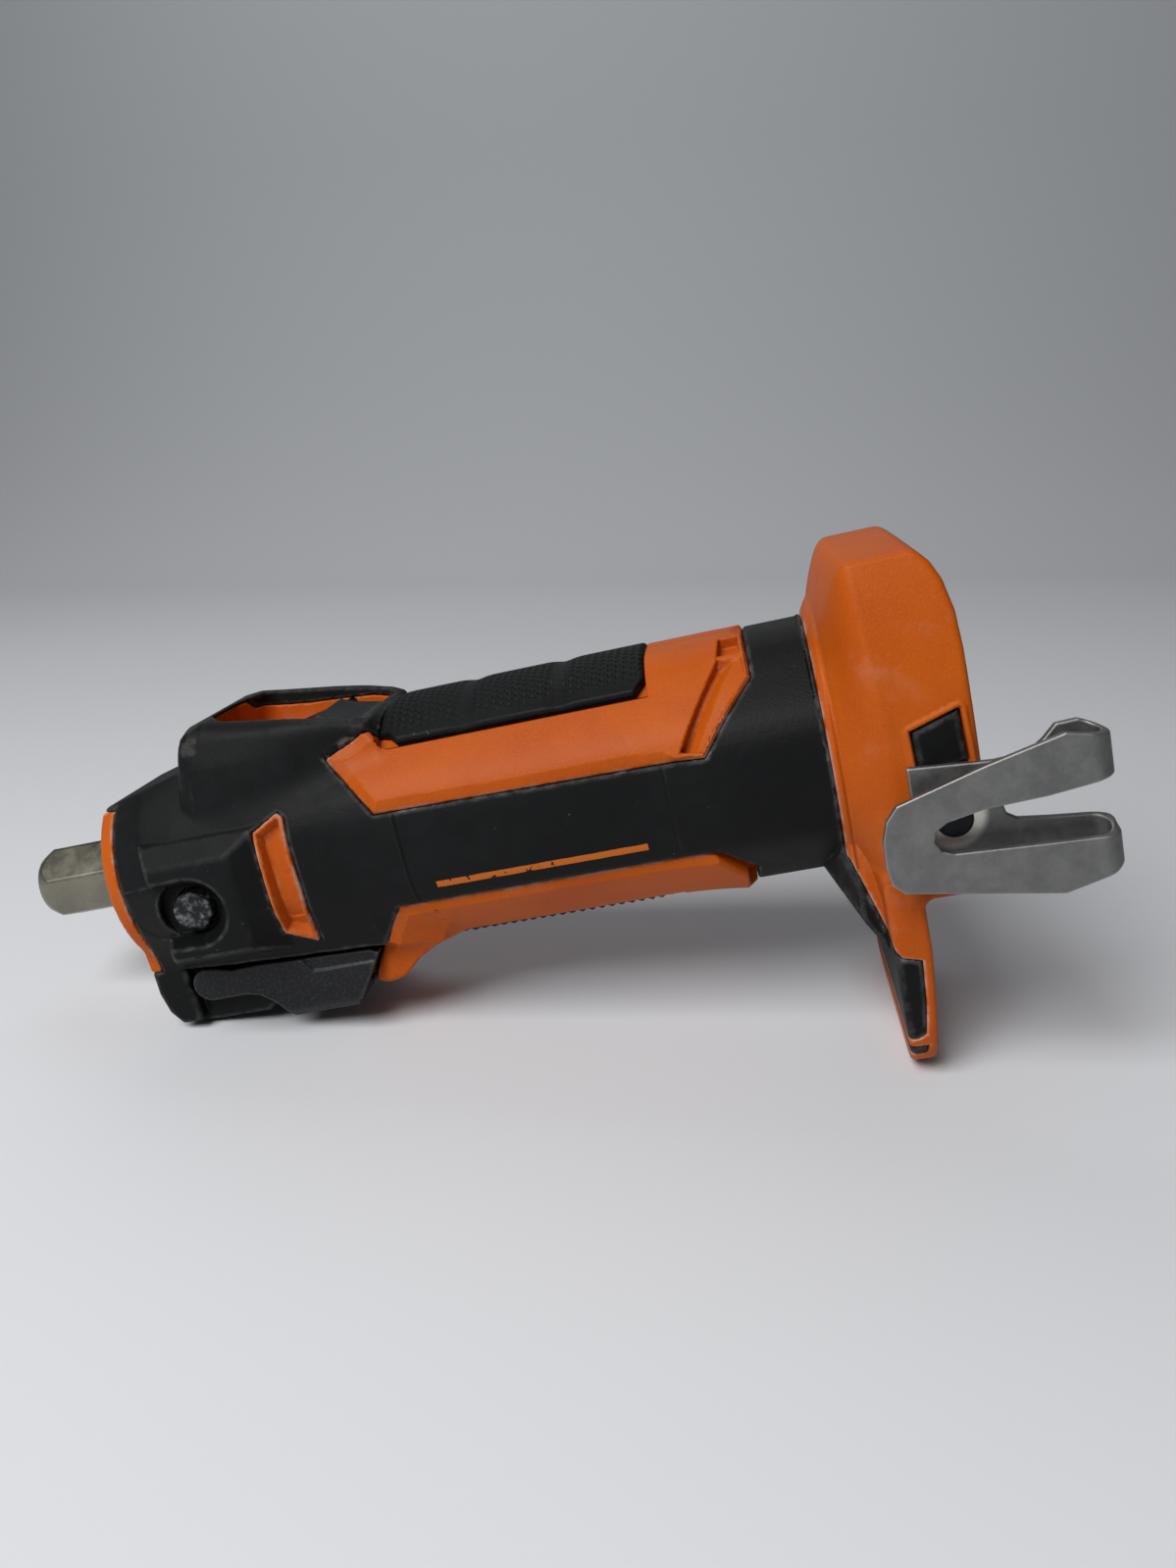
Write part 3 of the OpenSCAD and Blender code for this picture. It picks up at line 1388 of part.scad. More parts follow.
// Screws that hold the two halves together, all driven from the right
module housing_screws() {
    color("black") for (spot = screw_spots) {
        bar_y(screw_r, spot[0], spot[1], -screw_half_l, screw_half_l + screw_head_l / 2);
        bar_y(screw_head_r, spot[0], spot[1], screw_half_l, screw_half_l + screw_head_l);
    }
}

housing_left();
housing_right();
overmould_left();
overmould_right();
top_grip();
bottom_grip();
side_bumper_left();
side_bumper_right();
switch_rocker();
rocker_pin();
switch_rod();
switch_body();
lock_button();
lock_pin();
lock_spring();
guide_lever();
cam_pin();
clamp_pad();
collet_nut();
collet();
spindle();
front_bearing_outer();
front_bearing_inner();
front_bearing_balls();
rear_bearing_outer();
rear_bearing_inner();
rear_bearing_balls();
armature();
windings();
commutator();
cooling_fan();
motor_can();
magnets();
brush_holder();
brushes();
circuit_board();
heat_sink();
terminal_block();
contact_blades();
belt_hook();
hook_screw();
hook_inserts();
housing_screws();
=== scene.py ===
"""Cordless drywall cut-out tool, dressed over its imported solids. Shapes are worked out in millimetres."""
from functools import reduce

import bmesh
import bpy
import numpy as np
from mathutils import Matrix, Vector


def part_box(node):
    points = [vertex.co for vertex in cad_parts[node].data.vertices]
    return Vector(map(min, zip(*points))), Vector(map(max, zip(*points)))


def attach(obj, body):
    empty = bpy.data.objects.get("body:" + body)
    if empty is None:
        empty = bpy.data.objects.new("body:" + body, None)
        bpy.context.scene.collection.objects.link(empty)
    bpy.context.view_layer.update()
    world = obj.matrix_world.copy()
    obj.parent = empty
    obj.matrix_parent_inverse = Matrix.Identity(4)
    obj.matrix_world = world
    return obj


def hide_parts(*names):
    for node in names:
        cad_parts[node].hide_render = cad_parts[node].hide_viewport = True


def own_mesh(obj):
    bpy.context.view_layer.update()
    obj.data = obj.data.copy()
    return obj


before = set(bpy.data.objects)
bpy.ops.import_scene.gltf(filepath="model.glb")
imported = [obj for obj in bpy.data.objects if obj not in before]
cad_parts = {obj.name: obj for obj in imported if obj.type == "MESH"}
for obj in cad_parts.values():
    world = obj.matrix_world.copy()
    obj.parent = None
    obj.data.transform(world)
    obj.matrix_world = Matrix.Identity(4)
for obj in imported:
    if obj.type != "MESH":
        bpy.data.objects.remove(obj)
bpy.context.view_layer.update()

# Housing halves: two shells of orange glass-filled nylon, injection moulded and screwed together on the
# centre plane. They carry the bearings, the motor and the battery foot, and show as front lip, vent
# frames, raised panels, lower band and foot. The rest of them is covered by rubber.


def outline(points, u, v):
    """Signed distance from (u, v) to a closed polygon: the least distance to its sides, negative where a
    line towards +u crosses an odd number of them."""
    start = np.asarray(points, np.float32)
    near, inside = np.float32(1e9), False
    for (au, av), (bu, bv) in zip(start, np.roll(start, -1, axis=0)):
        eu, ev, wu, wv = bu - au, bv - av, u - au, v - av
        along = np.clip((wu * eu + wv * ev) / (eu * eu + ev * ev), 0, 1)
        near = np.minimum(near, (wu - eu * along) ** 2 + (wv - ev * along) ** 2)
        crossed = ((av <= v) != (bv <= v)) & (wu < eu * (wv / (ev if ev else 1)))
        inside = inside ^ crossed
    return np.where(inside, -1, 1).astype(np.float32) * np.sqrt(near)


def melt(a, b, k):
    """Union of two fields with a fillet: the lower one, less (k - |a - b|)^2 / 4k where they are close."""
    close = np.maximum(k - np.abs(a - b), 0)
    return np.minimum(a, b) - close * close / (4 * k)


def meet(a, b, k):
    """Intersection of two fields with an edge rounded by about k."""
    return -melt(-a, -b, k)


def less(a, b, k):
    """Field a with field b cut out of it, and the edge rounded by about k."""
    return -melt(-a, b, k)


def highest(*fields):
    """What several fields share: the highest of them at each point."""
    return reduce(np.maximum, fields)


def lowest(*fields):
    """Several fields together: the lowest of them at each point."""
    return reduce(np.minimum, fields)


def within(place, low, high):
    """A slab between two planes: the distance past the nearer one, negative between them."""
    return np.maximum(low - place, place - high)


def graded(place, places, sizes):
    """A size that changes with a place, linear between the given places."""
    return np.interp(place, places, sizes).astype(np.float32)


def rod_along(axis_a, axis_b, r, span, place):
    """A round bar of radius r about a line: distance from the line, cut off at both ends of the span."""
    return np.maximum(np.hypot(axis_a, axis_b) - r, within(place, *span))


BARREL_R = 31


def around(y, z):
    """Arc length on the barrel from its side, upwards: the barrel's radius times the angle above the side."""
    return np.arctan2(z, np.abs(y)) * np.float32(BARREL_R)


def degrees_at(points):
    """Points given as (place, degrees above the side), as (place, arc length on the barrel)."""
    return [(place, np.radians(turn) * BARREL_R) for place, turn in points]


NOSE_X = 31.2


def barrel_form(x, out, z):
    """Barrel: turned, with eight flats and a flat on its nose. Over the lever a skirt leaves it on a tangent
    plane, which behind the lever turns about the flat's corner until it lies in the flat."""
    r = graded(x, (NOSE_X, 32.2, 35, 44, 53, 214), (26, 27, 27.5, 29.8, 31, 31.1))
    turned = np.maximum(np.hypot(out, z) - r, within(x, NOSE_X, 216))
    high = np.abs(z)
    flats = highest(out, high, (out + high) * np.float32(0.7071)) - 30.2
    nose_flat = z - graded(x, (31, 53, 55, 62), (21.2, 26.4, 29, 60))
    turn = np.radians(graded(x, (97, 112), (21.5, 45)))
    hold = np.minimum(turn, np.radians(31.95))
    skirt = highest(np.cos(turn) * out - np.sin(turn) * z - r * np.cos(turn - hold),
                    np.sin(hold) * out + np.cos(hold) * z,
                    graded(x, (34, 50, 62, 96, 112), (-22.4, -22.7, -23.3, -24.9, -25)) - z,
                    within(x, 33, 112))
    return np.minimum(meet(meet(turned, flats, 1.2), nose_flat, 1.2), skirt)


hood_side = ((51.8, 4), (52.2, 22), (53.8, 31), (55.8, 35.6), (58.4, 37.6), (64, 38), (71, 37), (80, 35.8),
             (86, 34.9), (96, 33), (102.5, 31.6), (105.6, 30.2), (107.4, 27.4), (107.4, 4))
hood_end = ((-9, 4), (27.8, 4), (28, 12), (27.2, 20), (25.2, 28), (23, 34), (19.6, 41), (-9, 41))
hood_plan = ((51.4, -9), (51.4, 16), (52.2, 20.4), (54.4, 23.8), (58.4, 26), (64, 26.9), (72, 27), (84, 24.9),
             (94, 22.4), (102, 20.6), (107.4, 20), (107.4, -9))


def hood_form(x, out, z):
    """Hood round the rocker: what its side, end and plan outlines share, with the front leaning back."""
    lean = 0.17 * np.clip(z - 6, 0, 25) * graded(x, (56, 80), (1, 0))
    across = meet(outline(hood_side, x - lean, z), outline(hood_end, out, z), 3.4)
    return meet(across, outline(hood_plan, x - lean, out), 2.4)


BRACKET_OUT = 18
BELLY_SCREW, BOSS_R = (98, -33), 5.2
bracket_side = ((32.4, -12), (32.2, -28), (33.4, -34.4), (36.4, -39.4), (39.6, -40), (58.5, -40), (62.2, -37.2),
                (88, -37.2), (88, -12))
cheek_side = ((32.4, -13), (32.2, -29), (33.4, -34.4), (36, -38), (41.6, -38), (41.6, -13))
belly_side = ((104, -12), (87.2, -37.4), (85.6, -41), (87, -41.2), (91, -39.6), (97, -36.2), (104.3, -29.8),
              (109, -26.5), (111, -12))


def bracket_form(x, out, z):
    """Guide bracket under the nose, with a wider cheek at its front."""
    return np.minimum(meet(outline(bracket_side, x, z), out - BRACKET_OUT, 1.2),
                      meet(outline(cheek_side, x, z), out - 22, 1.2))


def belly_form(x, y, z):
    """Belly behind the bracket, its bottom rising to both sides, with a screw boss on the right."""
    out = np.abs(y)
    keel = (-z - 41.4 + 0.38 * np.maximum(out - 6, 0)) * 0.93
    belly = meet(meet(outline(belly_side, x, z), out - BRACKET_OUT, 1), keel, 2)
    return np.minimum(belly, rod_along(x - BELLY_SCREW[0], z - BELLY_SCREW[1], BOSS_R, (11, 17.5), y))


FOOT_OUT = 37
PLATE_SCREW = (221.75, -62)
plate_end = ((-9, -26), (37, -26), (37, -62), (35.9, -67.4), (32.9, -71.9), (28.4, -74.9), (23, -76), (-9, -76))
gusset_side = ((205.5, -18), (205.5, -26.5), (217.8, -48), (226, -48), (226, -18))


def foot_form(x, y, z):
    """Battery foot. Its front is a blend from the barrel's circle to the foot's end outline, (1 - s) * circle +
    s * end, with s rising along x, and faster on top. A plate hangs below it, with a gusset to the barrel in
    front and a screw boss on the right."""
    out, radius = np.abs(y), np.hypot(y, z)
    steep = np.clip(z / np.maximum(radius, 1), 0, 1) ** 2
    share = np.clip((x - 211) / (13.5 - 3 * steep), 0, 1)
    share = (1 - steep) * share * share * (3 - 2 * share) + steep * (1 - (1 - share) ** 3 * (1 + 3 * share))
    end = meet(out - FOOT_OUT + np.maximum(z - 8, 0) ** 2 / 205, z - 46.6 + out ** 2 / 480, 1)
    funnel = (1 - share) * (radius - BARREL_R) + share * end
    rear = (x - graded(z, (-31, 23, 31, 37.7, 41.6, 46.6), (242.2, 242.2, 241.8, 240.4, 238.6, 234.4))) * 0.85
    foot = np.maximum(meet(meet(funnel, rear, 1.6), -31.2 - z, 1.2), 210.5 - x)
    sides = np.maximum(217.5 - x, x - 226 - graded(z, (-76, -44), (-2.6, 0)))
    plate = meet(outline(plate_end, out, z), sides, 1.6)
    along, up = x - PLATE_SCREW[0], z - PLATE_SCREW[1]
    boss = np.maximum(rod_along(along, up, BOSS_R, (0, 36), y), np.abs(along) - 4.25)
    gusset = meet(outline(gusset_side, x, z), out - graded(x, (205, 213), (15, 26)), 1.2)
    return np.minimum(melt(foot, np.minimum(plate, boss), 2.4), gusset)


def tool_form(x, y, z):
    """Outside of the tool before it is parted into nylon and rubber: barrel, hood, bracket and belly run into
    one another with fillets, and the foot joins them."""
    out = np.abs(y)
    body = melt(barrel_form(x, out, z), hood_form(x, out, z), graded(x, (60, 72), (0.9, 3)))
    body = melt(body, bracket_form(x, out, z), 0.8)
    body = melt(body, belly_form(x, y, z), graded(x + z, (64, 72), (0.6, 8)))
    return np.minimum(body, foot_form(x, y, z))


COLLAR_X = 211.5
panel_edge = degrees_at(((94.4, 48), (105.2, 19), (178.1, 17), (184.5, 16), (197.6, 49), (197.4, 71), (197, 99),
                         (107.6, 99), (107.6, 57.5)))
band_edge = degrees_at(((104.2, -28.6), (175.2, -29), (183.5, -30), (190.8, -49), (190, -66), (189, -99),
                        (86.8, -99), (86.8, -70), (95.9, -50.6)))
vent_edge = degrees_at(((81.4, 28), (74.6, 21), (73.9, -30), (81.6, -38), (82.8, -10), (82.8, 25)))
louvre_edge = degrees_at(((179.2, 20), (184, 18.6), (196.3, 49), (195.9, 76), (191.6, 76), (190.6, 60)))
slot_edge = degrees_at(((176.5, -27.6), (183.8, -28.6), (191.8, -49), (190.6, -68), (188, -68), (188.4, -49),
                        (182, -31)))
strip_edge = ((190, -22), (212, -22.8), (217.8, -42.4), (219.2, -44.2), (223.4, -45.4), (222.7, -56), (221.6, -64),
              (219.6, -65), (190, -65))
bumper_edge = ((228.6, 7.6), (239.2, 11), (239.8, -1), (230.8, -2.4), (228.9, -1))
tab_edge = ((190, -67), (221.9, -67.3), (221.1, -70), (190, -70.2))


def bare_places(x, y, z):
    """Where no rubber covers the nylon, as a field that is negative there: lip, panels, bands, vents and
    foot. Also the height of the nylon over the form there: each panel rises from its edge in a chamfer, the
    vents are troughs, and the foot has a bead along the collar and round the bumpers."""
    arc = around(y, z)
    panel, band, vent, slit = (outline(edge, x, arc) for edge in (panel_edge, band_edge, vent_edge, louvre_edge))
    lip = np.maximum(x - 35.2, np.abs(z + 1) - 21.5)
    foot = np.maximum(COLLAR_X - x, -np.minimum(outline(strip_edge, x, z), outline(tab_edge, x, z)))
    lift = 0.7 - 1.3 * np.clip(1 + panel / graded(slit, (1.5, 4), (0.8, 2.8)), 0, 1) * (panel < 0)
    flare = 1.9 * np.clip((x - 168) / 22, 0, 1) ** 2
    lift = np.where(band < 0, 0.6 + flare - (1.2 + 0.6 * flare) * np.clip(1 + band / 2.8, 0, 1), lift)
    lift = np.where(vent < 0, 0.75 - np.clip(-(vent + 1) * 2.6, 0, 5), lift)
    bead = 0.5 * np.exp(-((x - 212.4) / 0.8) ** 4) - 0.3 * np.exp(-((x - 213.9) / 0.5) ** 2)
    rim = np.abs(outline(bumper_edge, x, z) - 0.9)
    bead = bead + 0.5 * np.exp(-(rim / 0.6) ** 4) * (np.abs(y) > 33)
    bare = lowest(panel, band, vent, lip, foot)
    return bare, np.where(lip < 0, 0.15, np.where(foot < 0, bead, lift))


SKIN_T = 2


def skin_depth(x, z):
    """Thickness of the rubber: 2 mm, and on the hood's crest 0.9 mm at its front and 3.6 mm behind."""
    return SKIN_T + np.clip((z - 30.5) / 1.5, 0, 1) * graded(x, (64.4, 65.4), (-1.1, 1.6))


pocket_plan = ((66, -6), (70, -12.5), (99.4, -12.5), (99.4, 12.5), (70, 12.5), (66, 6))


def pocket_field(x, y, z):
    """Room for the rocker in the hood: a leaning box with rounded upright corners, open upwards."""
    return np.maximum(outline(pocket_plan, x - 0.3 * (z - 31), y) - 5, 26.6 - z)


LOCK_X, LOCK_Z = 53, -5.6
PIVOT_X, PIVOT_Z = 46.7, -28.4
# Bores as (radius, from, to), the lock button's along Y and the turned ones along X, and the screws' places.
lock_bores = ((5.4, -40, -23.4), (6.4, -23.4, -18), (4.2, -18, -13.4), (2.1, -13.4, -2))
turned_bores = ((17, 20, 42), (8, 41, 47), (11, 46, 57), (11.5, 56, 68), (13.05, 58, 66), (24, 67, 84),
                (24.1, 83, 110), (26.8, 110, 145), (9, 144, 156), (11.05, 146.5, 153.5), (26.8, 155, 223))
screw_spots = ((59, 26.5), (54, -21), BELLY_SCREW, (150, 17.3), (150, -17.3), (231, 40.5), PLATE_SCREW)


def openings(x, y, z, side):
    """All that is cut through rubber and nylon alike: rocker pocket, lever room, guide slot, cam room, the lock
    bores on the left and, on the right, the housing screws' counterbores."""
    out = np.abs(y)
    lever_room = np.maximum(np.hypot(x - PIVOT_X, z - PIVOT_Z) - 5.2, BRACKET_OUT - out)
    guide_slot = highest(out - 8, np.abs(z + 35.1) - 2.5, x - 60)
    cam_room = highest(out - 6.4, np.abs(x - PIVOT_X) - 7.4, within(z, -33.6, -22.9))
    cuts = lowest(pocket_field(x, y, z), lever_room, guide_slot, cam_room)
    if side < 0:
        for r, *span in lock_bores:
            cuts = np.minimum(cuts, rod_along(x - LOCK_X, z - LOCK_Z, r, span, y))
    else:
        for place, height in screw_spots:
            cuts = np.minimum(cuts, rod_along(x - place, z - height, 3.9, (14, 60), y))
    return cuts


HOOK_X, HOOK_Z = 234.4, -12
grip_seats = ((20.1, (107.4, 173.6), 1), (14.1, (107.4, 171.6), -1))


def housing_field(side):
    """Field of one housing half: bare places at full height, the rest sunk under the rubber, less the
    openings, bores, vents, grip seats, battery channel, bumper recess and hook bore."""
    def field(x, y, z):
        out, radius, arc = np.abs(y), np.hypot(y, z), around(y, z)
        form = tool_form(x, y, z)
        bare, lift = bare_places(x, y, z)
        nylon = np.minimum(form + skin_depth(x, z) + 0.05, meet(form - lift, bare + 0.06, 0.6))
        cuts = openings(x, y, z, side)
        for r, low, high in turned_bores:
            cuts = np.minimum(cuts, np.maximum(radius - r, within(x, low, high)))
        for reach, span, up in grip_seats:
            cuts = np.minimum(cuts, highest(out - reach, within(x, *span), 29.05 - radius, -up * z))
        slant = np.clip(2.6 - 0.75 * (x - 180.4 - 0.53 * (arc - 10.5)), 0.5, 2.6)
        slant = slant * np.clip(np.abs(arc - 33.4) - 0.7, 0, 1)
        louvre = np.maximum(outline(louvre_edge, x, arc), 31.2 - slant - radius)
        slot = np.maximum(outline(slot_edge, x, arc), 27.6 - radius)
        channel = highest(np.minimum(np.maximum(out - 30, x - 237), out - 25.5), 226 - x, z - 34.5)
        window = highest(out - 11.5, np.abs(z - 14) - 6, within(x, 211, 228))
        bumper = np.maximum(outline(bumper_edge, x, z) - 0.15, 34.8 - out)
        hook_bore = rod_along(x - HOOK_X, z - HOOK_Z, 2.95, (31.4, 60), out)
        cuts = lowest(cuts, louvre, slot, channel, window, bumper, hook_bore)
        if side < 0:
            cuts = np.minimum(cuts, rod_along(x - LOCK_X, z - LOCK_Z, 9.85, (-40, -23), y))
        return np.maximum(less(nylon, cuts, 0.5), side * -y)
    return field


def netted(field, low, high, cell):
    """Surface nets: each grid cell that the level field = 0 passes through gets one point, the mean of
    the crossings on its edges, and each crossed grid edge gets the quad of the four cells around it."""
    axes = [np.arange(a - 2 * cell, b + 2 * cell, cell, dtype=np.float32) for a, b in zip(low, high)]
    grid = field(axes[0][:, None, None], axes[1][None, :, None], axes[2][None, None, :])
    for axis in range(3):
        edge = np.moveaxis(grid, axis, 0)
        edge[0] = edge[-1] = cell
    inside = grid < 0
    steps = (grid.shape[1] * grid.shape[2], grid.shape[2], 1)
    rings, crossings = [], []
    for axis in range(3):
        before, after = [slice(None)] * 3, [slice(None)] * 3
        before[axis], after[axis] = slice(0, -1), slice(1, None)
        spots = np.nonzero(inside[tuple(before)] != inside[tuple(after)])
        beyond = list(spots)
        beyond[axis] = spots[axis] + 1
        first, second = grid[spots], grid[tuple(beyond)]
        point = np.stack(spots, axis=1).astype(np.float64)
        point[:, axis] += first / (first - second)
        b, c = steps[(axis + 1) % 3], steps[(axis + 2) % 3]
        ring = (spots[0] * steps[0] + spots[1] * steps[1] + spots[2])[:, None] - np.array((0, b, b + c, c))
        rings.append(np.where((first < 0)[:, None], ring, ring[:, ::-1]))
        crossings.append(np.repeat(point, 4, axis=0))
    rings, crossings = np.concatenate(rings), np.concatenate(crossings)
    cells, quads = np.unique(rings.ravel(), return_inverse=True)
    count = np.bincount(quads)
    points = np.stack([np.bincount(quads, crossings[:, axis]) / count for axis in range(3)], axis=1)
    return points * cell + [axis[0] for axis in axes], quads.reshape(-1, 4)


def slope_of(field, points, reach=0.06):
    """Gradient of a field at points, by central differences."""
    steps = np.eye(3) * reach
    return np.stack([(field(*(points + s).T.astype(np.float32)) - field(*(points - s).T.astype(np.float32)))
                     / (2 * reach) for s in steps], axis=1)


def settled(field, points, cell):
    """Points moved onto the level field = 0 along its gradient, in three Newton steps of half a cell at most."""
    for _ in range(3):
        slope = slope_of(field, points)
        value = np.clip(field(*points.T.astype(np.float32)), -cell / 2, cell / 2)
        points = points - (value / np.maximum((slope ** 2).sum(axis=1), 0.3))[:, None] * slope
    return points


def new_mesh(name, points, faces):
    """Mesh object from points in millimetres and faces, smooth shaded."""
    mesh = bpy.data.meshes.new(name)
    mesh.from_pydata((np.asarray(points) * 0.001).tolist(), [], np.asarray(faces).tolist())
    mesh.shade_smooth()
    piece = bpy.data.objects.new(name, mesh)
    bpy.context.scene.collection.objects.link(piece)
    return piece


def baked(piece):
    """Piece with its modifiers worked into its mesh."""
    done = bpy.data.meshes.new_from_object(piece.evaluated_get(bpy.context.evaluated_depsgraph_get()))
    piece.modifiers.clear()
    piece.data = done
    return piece


def moulded(name, field, low, high, cell, most, seam):
    """Mesh of a field: surface nets, thinned by edge collapse, settled back onto the level, with normals
    from the gradient. Attribute wear is the curvature, the field's mean at six points round each one, which
    is positive on outer edges, and seam is 1 at a parting."""
    points, quads = netted(field, low, high, cell)
    piece = new_mesh(name, settled(field, points, cell), quads)
    thin = piece.modifiers.new("thin", "DECIMATE")
    thin.ratio = min(1.0, most / (2 * len(quads)))
    baked(piece)
    points = np.empty(3 * len(piece.data.vertices), np.float32)
    piece.data.vertices.foreach_get("co", points)
    points = settled(field, points.reshape(-1, 3) * 1000.0, cell)
    piece.data.vertices.foreach_set("co", (points * 0.001).astype(np.float32).ravel())
    normals = slope_of(field, points)
    normals /= np.maximum(np.linalg.norm(normals, axis=1), 1e-6)[:, None]
    piece.data.shade_smooth()
    piece.data.normals_split_custom_set_from_vertices(normals.tolist())
    reach = 0.8
    ways = np.concatenate((np.eye(3), -np.eye(3))) * reach
    bend = sum(field(*(points + way).T.astype(np.float32)) for way in ways)
    for key, value in (("wear", bend / 6 / reach), ("seam", seam(points))):
        piece.data.attributes.new(key, "FLOAT", "POINT").data.foreach_set("value", value.astype(np.float32))
    piece.data.update()
    return piece


def seam_of(points):
    """1 on the line where nylon and rubber meet, falling to 0 within a millimetre, on the outside only."""
    x, y, z = points.T.astype(np.float32)
    bare, _ = bare_places(x, y, z)
    outside = (np.hypot(y, z) > 30) & (np.abs(y) > np.where(x > 90, 14, 23))
    return np.exp(-(bare / 0.35) ** 2) * (outside | (x < 40) | (x > 205))


class Wire:
    """A shader socket that takes arithmetic: each operator adds a Math node, node() adds any other."""

    def __init__(self, tree, socket):
        self.tree, self.socket = tree, socket

    def node(self, kind, settings=None, sockets=None, out=0):
        """A new node with its settings, and with values or links on its sockets."""
        made = self.tree.nodes.new(kind)
        for key, value in (settings or {}).items():
            setattr(made, key, value)
        for key, value in (sockets or {}).items():
            if isinstance(value, Wire):
                self.tree.links.new(value.socket, made.inputs[key])
            else:
                made.inputs[key].default_value = value
        return Wire(self.tree, made.outputs[out])

    def math(self, operation, *values):
        return self.node("ShaderNodeMath", {"operation": operation}, dict(enumerate(values)))

    def __add__(self, other):
        return self.math("ADD", self, other)

    def __sub__(self, other):
        return self.math("SUBTRACT", self, other)

    def __rsub__(self, other):
        return self.math("SUBTRACT", other, self)

    def __mul__(self, other):
        return self.math("MULTIPLY", self, other)

    def __gt__(self, other):
        return self.math("GREATER_THAN", self, other)

    def __lt__(self, other):
        return self.math("LESS_THAN", self, other)

    def __abs__(self):
        return self.math("ABSOLUTE", self)

    __radd__, __rmul__ = __add__, __mul__

    def ramp(self, low, high):
        """0 below low, 1 above high, smooth between."""
        return self.node("ShaderNodeMapRange", {"interpolation_type": "SMOOTHSTEP"}, {0: self, 1: low, 2: high})

    def mix(self, low, high):
        """Colour low where this is 0, colour high where it is 1."""
        return self.node("ShaderNodeMix", {"data_type": "RGBA"}, {0: self, 6: low, 7: high}, 2)

    def noise(self, scale, detail=2.0, rough=0.5):
        """Noise on this place, with scale in ripples per metre."""
        return self.node("ShaderNodeTexNoise", None, {"Vector": self, "Scale": scale, "Detail": detail,
                                                      "Roughness": rough})

    def part(self, index):
        """One coordinate of a vector: 0, 1 or 2."""
        return self.node("ShaderNodeSeparateXYZ", None, {0: self}, index)

    def attribute(self, name):
        """A number stored at each point of the mesh."""
        return self.node("ShaderNodeAttribute", {"attribute_name": name}, None, 2)


def rgb(red, green, blue):
    """Display colour, 0 to 255, as the linear colour of a shader."""
    share = np.array((red, green, blue)) / 255
    return (*np.where(share <= 0.04045, share / 12.92, ((share + 0.055) / 1.055) ** 2.4).tolist(), 1.0)


def start_finish(name, **constants):
    """A new material: its Principled shader with the given constant sockets, and the object's place."""
    material = bpy.data.materials.new(name)
    material.use_nodes = True
    shader = material.node_tree.nodes["Principled BSDF"]
    for key, value in constants.items():
        shader.inputs[key.replace("_", " ")].default_value = value
    place = Wire(material.node_tree, None).node("ShaderNodeTexCoord", None, None, 3)
    return material, shader, place


def end_finish(place, shader, colour, rough, height=None, depth=0.0001):
    """Links colour, roughness and a bump of the given depth in metres to the shader."""
    for key, value in (("Base Color", colour), ("Roughness", rough)):
        place.tree.links.new(value.socket, shader.inputs[key])
    if height is not None:
        bump = place.node("ShaderNodeBump", None, {"Strength": 1.0, "Distance": depth, "Height": height})
        place.tree.links.new(bump.socket, shader.inputs["Normal"])


def dress(piece, material, body, node):
    """Gives a piece its material and the body it rides on, and hides the node it stands for."""
    piece.data.materials.clear()
    piece.data.materials.append(material)
    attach(piece, body)
    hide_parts(node)


def orange_nylon():
    """Satin orange with a fine mould grain, paler rubbed edges and grey-white dust in seams and hollows."""
    material, shader, place = start_finish("orange_nylon", Specular_IOR_Level=0.13)
    wear, seam = place.attribute("wear"), place.attribute("seam")
    cloud, grain = place.noise(38, 4, 0.6), place.noise(2400, 2, 0.6)
    dust = (place.noise(120, 6, 0.7) + place.noise(30, 3, 0.5) * 0.8).ramp(0.98, 1.35)
    colour = cloud.ramp(0.3, 0.72).mix(rgb(170, 72, 10), rgb(183, 83, 13))
    colour = (grain.ramp(0.35, 0.75) * 0.4).mix(colour, rgb(193, 96, 28))
    colour = (dust * 0.15).mix(colour, rgb(196, 158, 138))
    colour = (wear.ramp(0.1, 0.42) * place.noise(300, 4).ramp(0.35, 0.7) * 0.4).mix(colour, rgb(204, 116, 60))
    hollow = (0 - wear).ramp(0.05, 0.4)
    colour = (hollow * place.noise(260, 4, 0.6).ramp(0.38, 0.75) * 0.25).mix(colour, rgb(206, 172, 150))
    colour = (seam * place.noise(240, 3, 0.5).ramp(0.36, 0.62) * 0.7).mix(colour, rgb(206, 188, 178))
    rough = 0.4 + dust * 0.16 + grain * 0.1 + seam * 0.2
    end_finish(place, shader, colour, rough, grain + place.noise(900, 2) * 0.8, 0.00007)
    return material


nylon = orange_nylon()
for side, half in ((-1, "left"), (1, "right")):
    reach = sorted((0, 37.4 * side))
    piece = moulded("housing_%s_shell" % half, housing_field(side), (30, reach[0], -77), (243, reach[1], 47.5),
                    0.6, 180000, seam_of)
    dress(piece, nylon, "tool", "housing_" + half)

# Overmould: a soft black rubber skin of 2 mm, shot over each half in a second mould. It wraps the nose, the
# hood, the guide bracket and the handle's side, stands up as a guard round the lock button on the left,
# and closes the handle with a collar and a strip down the foot.
GUARD_TOP, GUARD_FALL, SCOOP_Y = 33.5, 6.6, 26.4
guard_planes = ((1, 0, 0, GUARD_TOP), (1, 0, 0.83, 39.9), (0.2, 0, 1, 18.4), (1, 0, -1.3, 55.1),
                (0.5, 0, -1, 33.5), (1, -2.2, 0, -68.6))


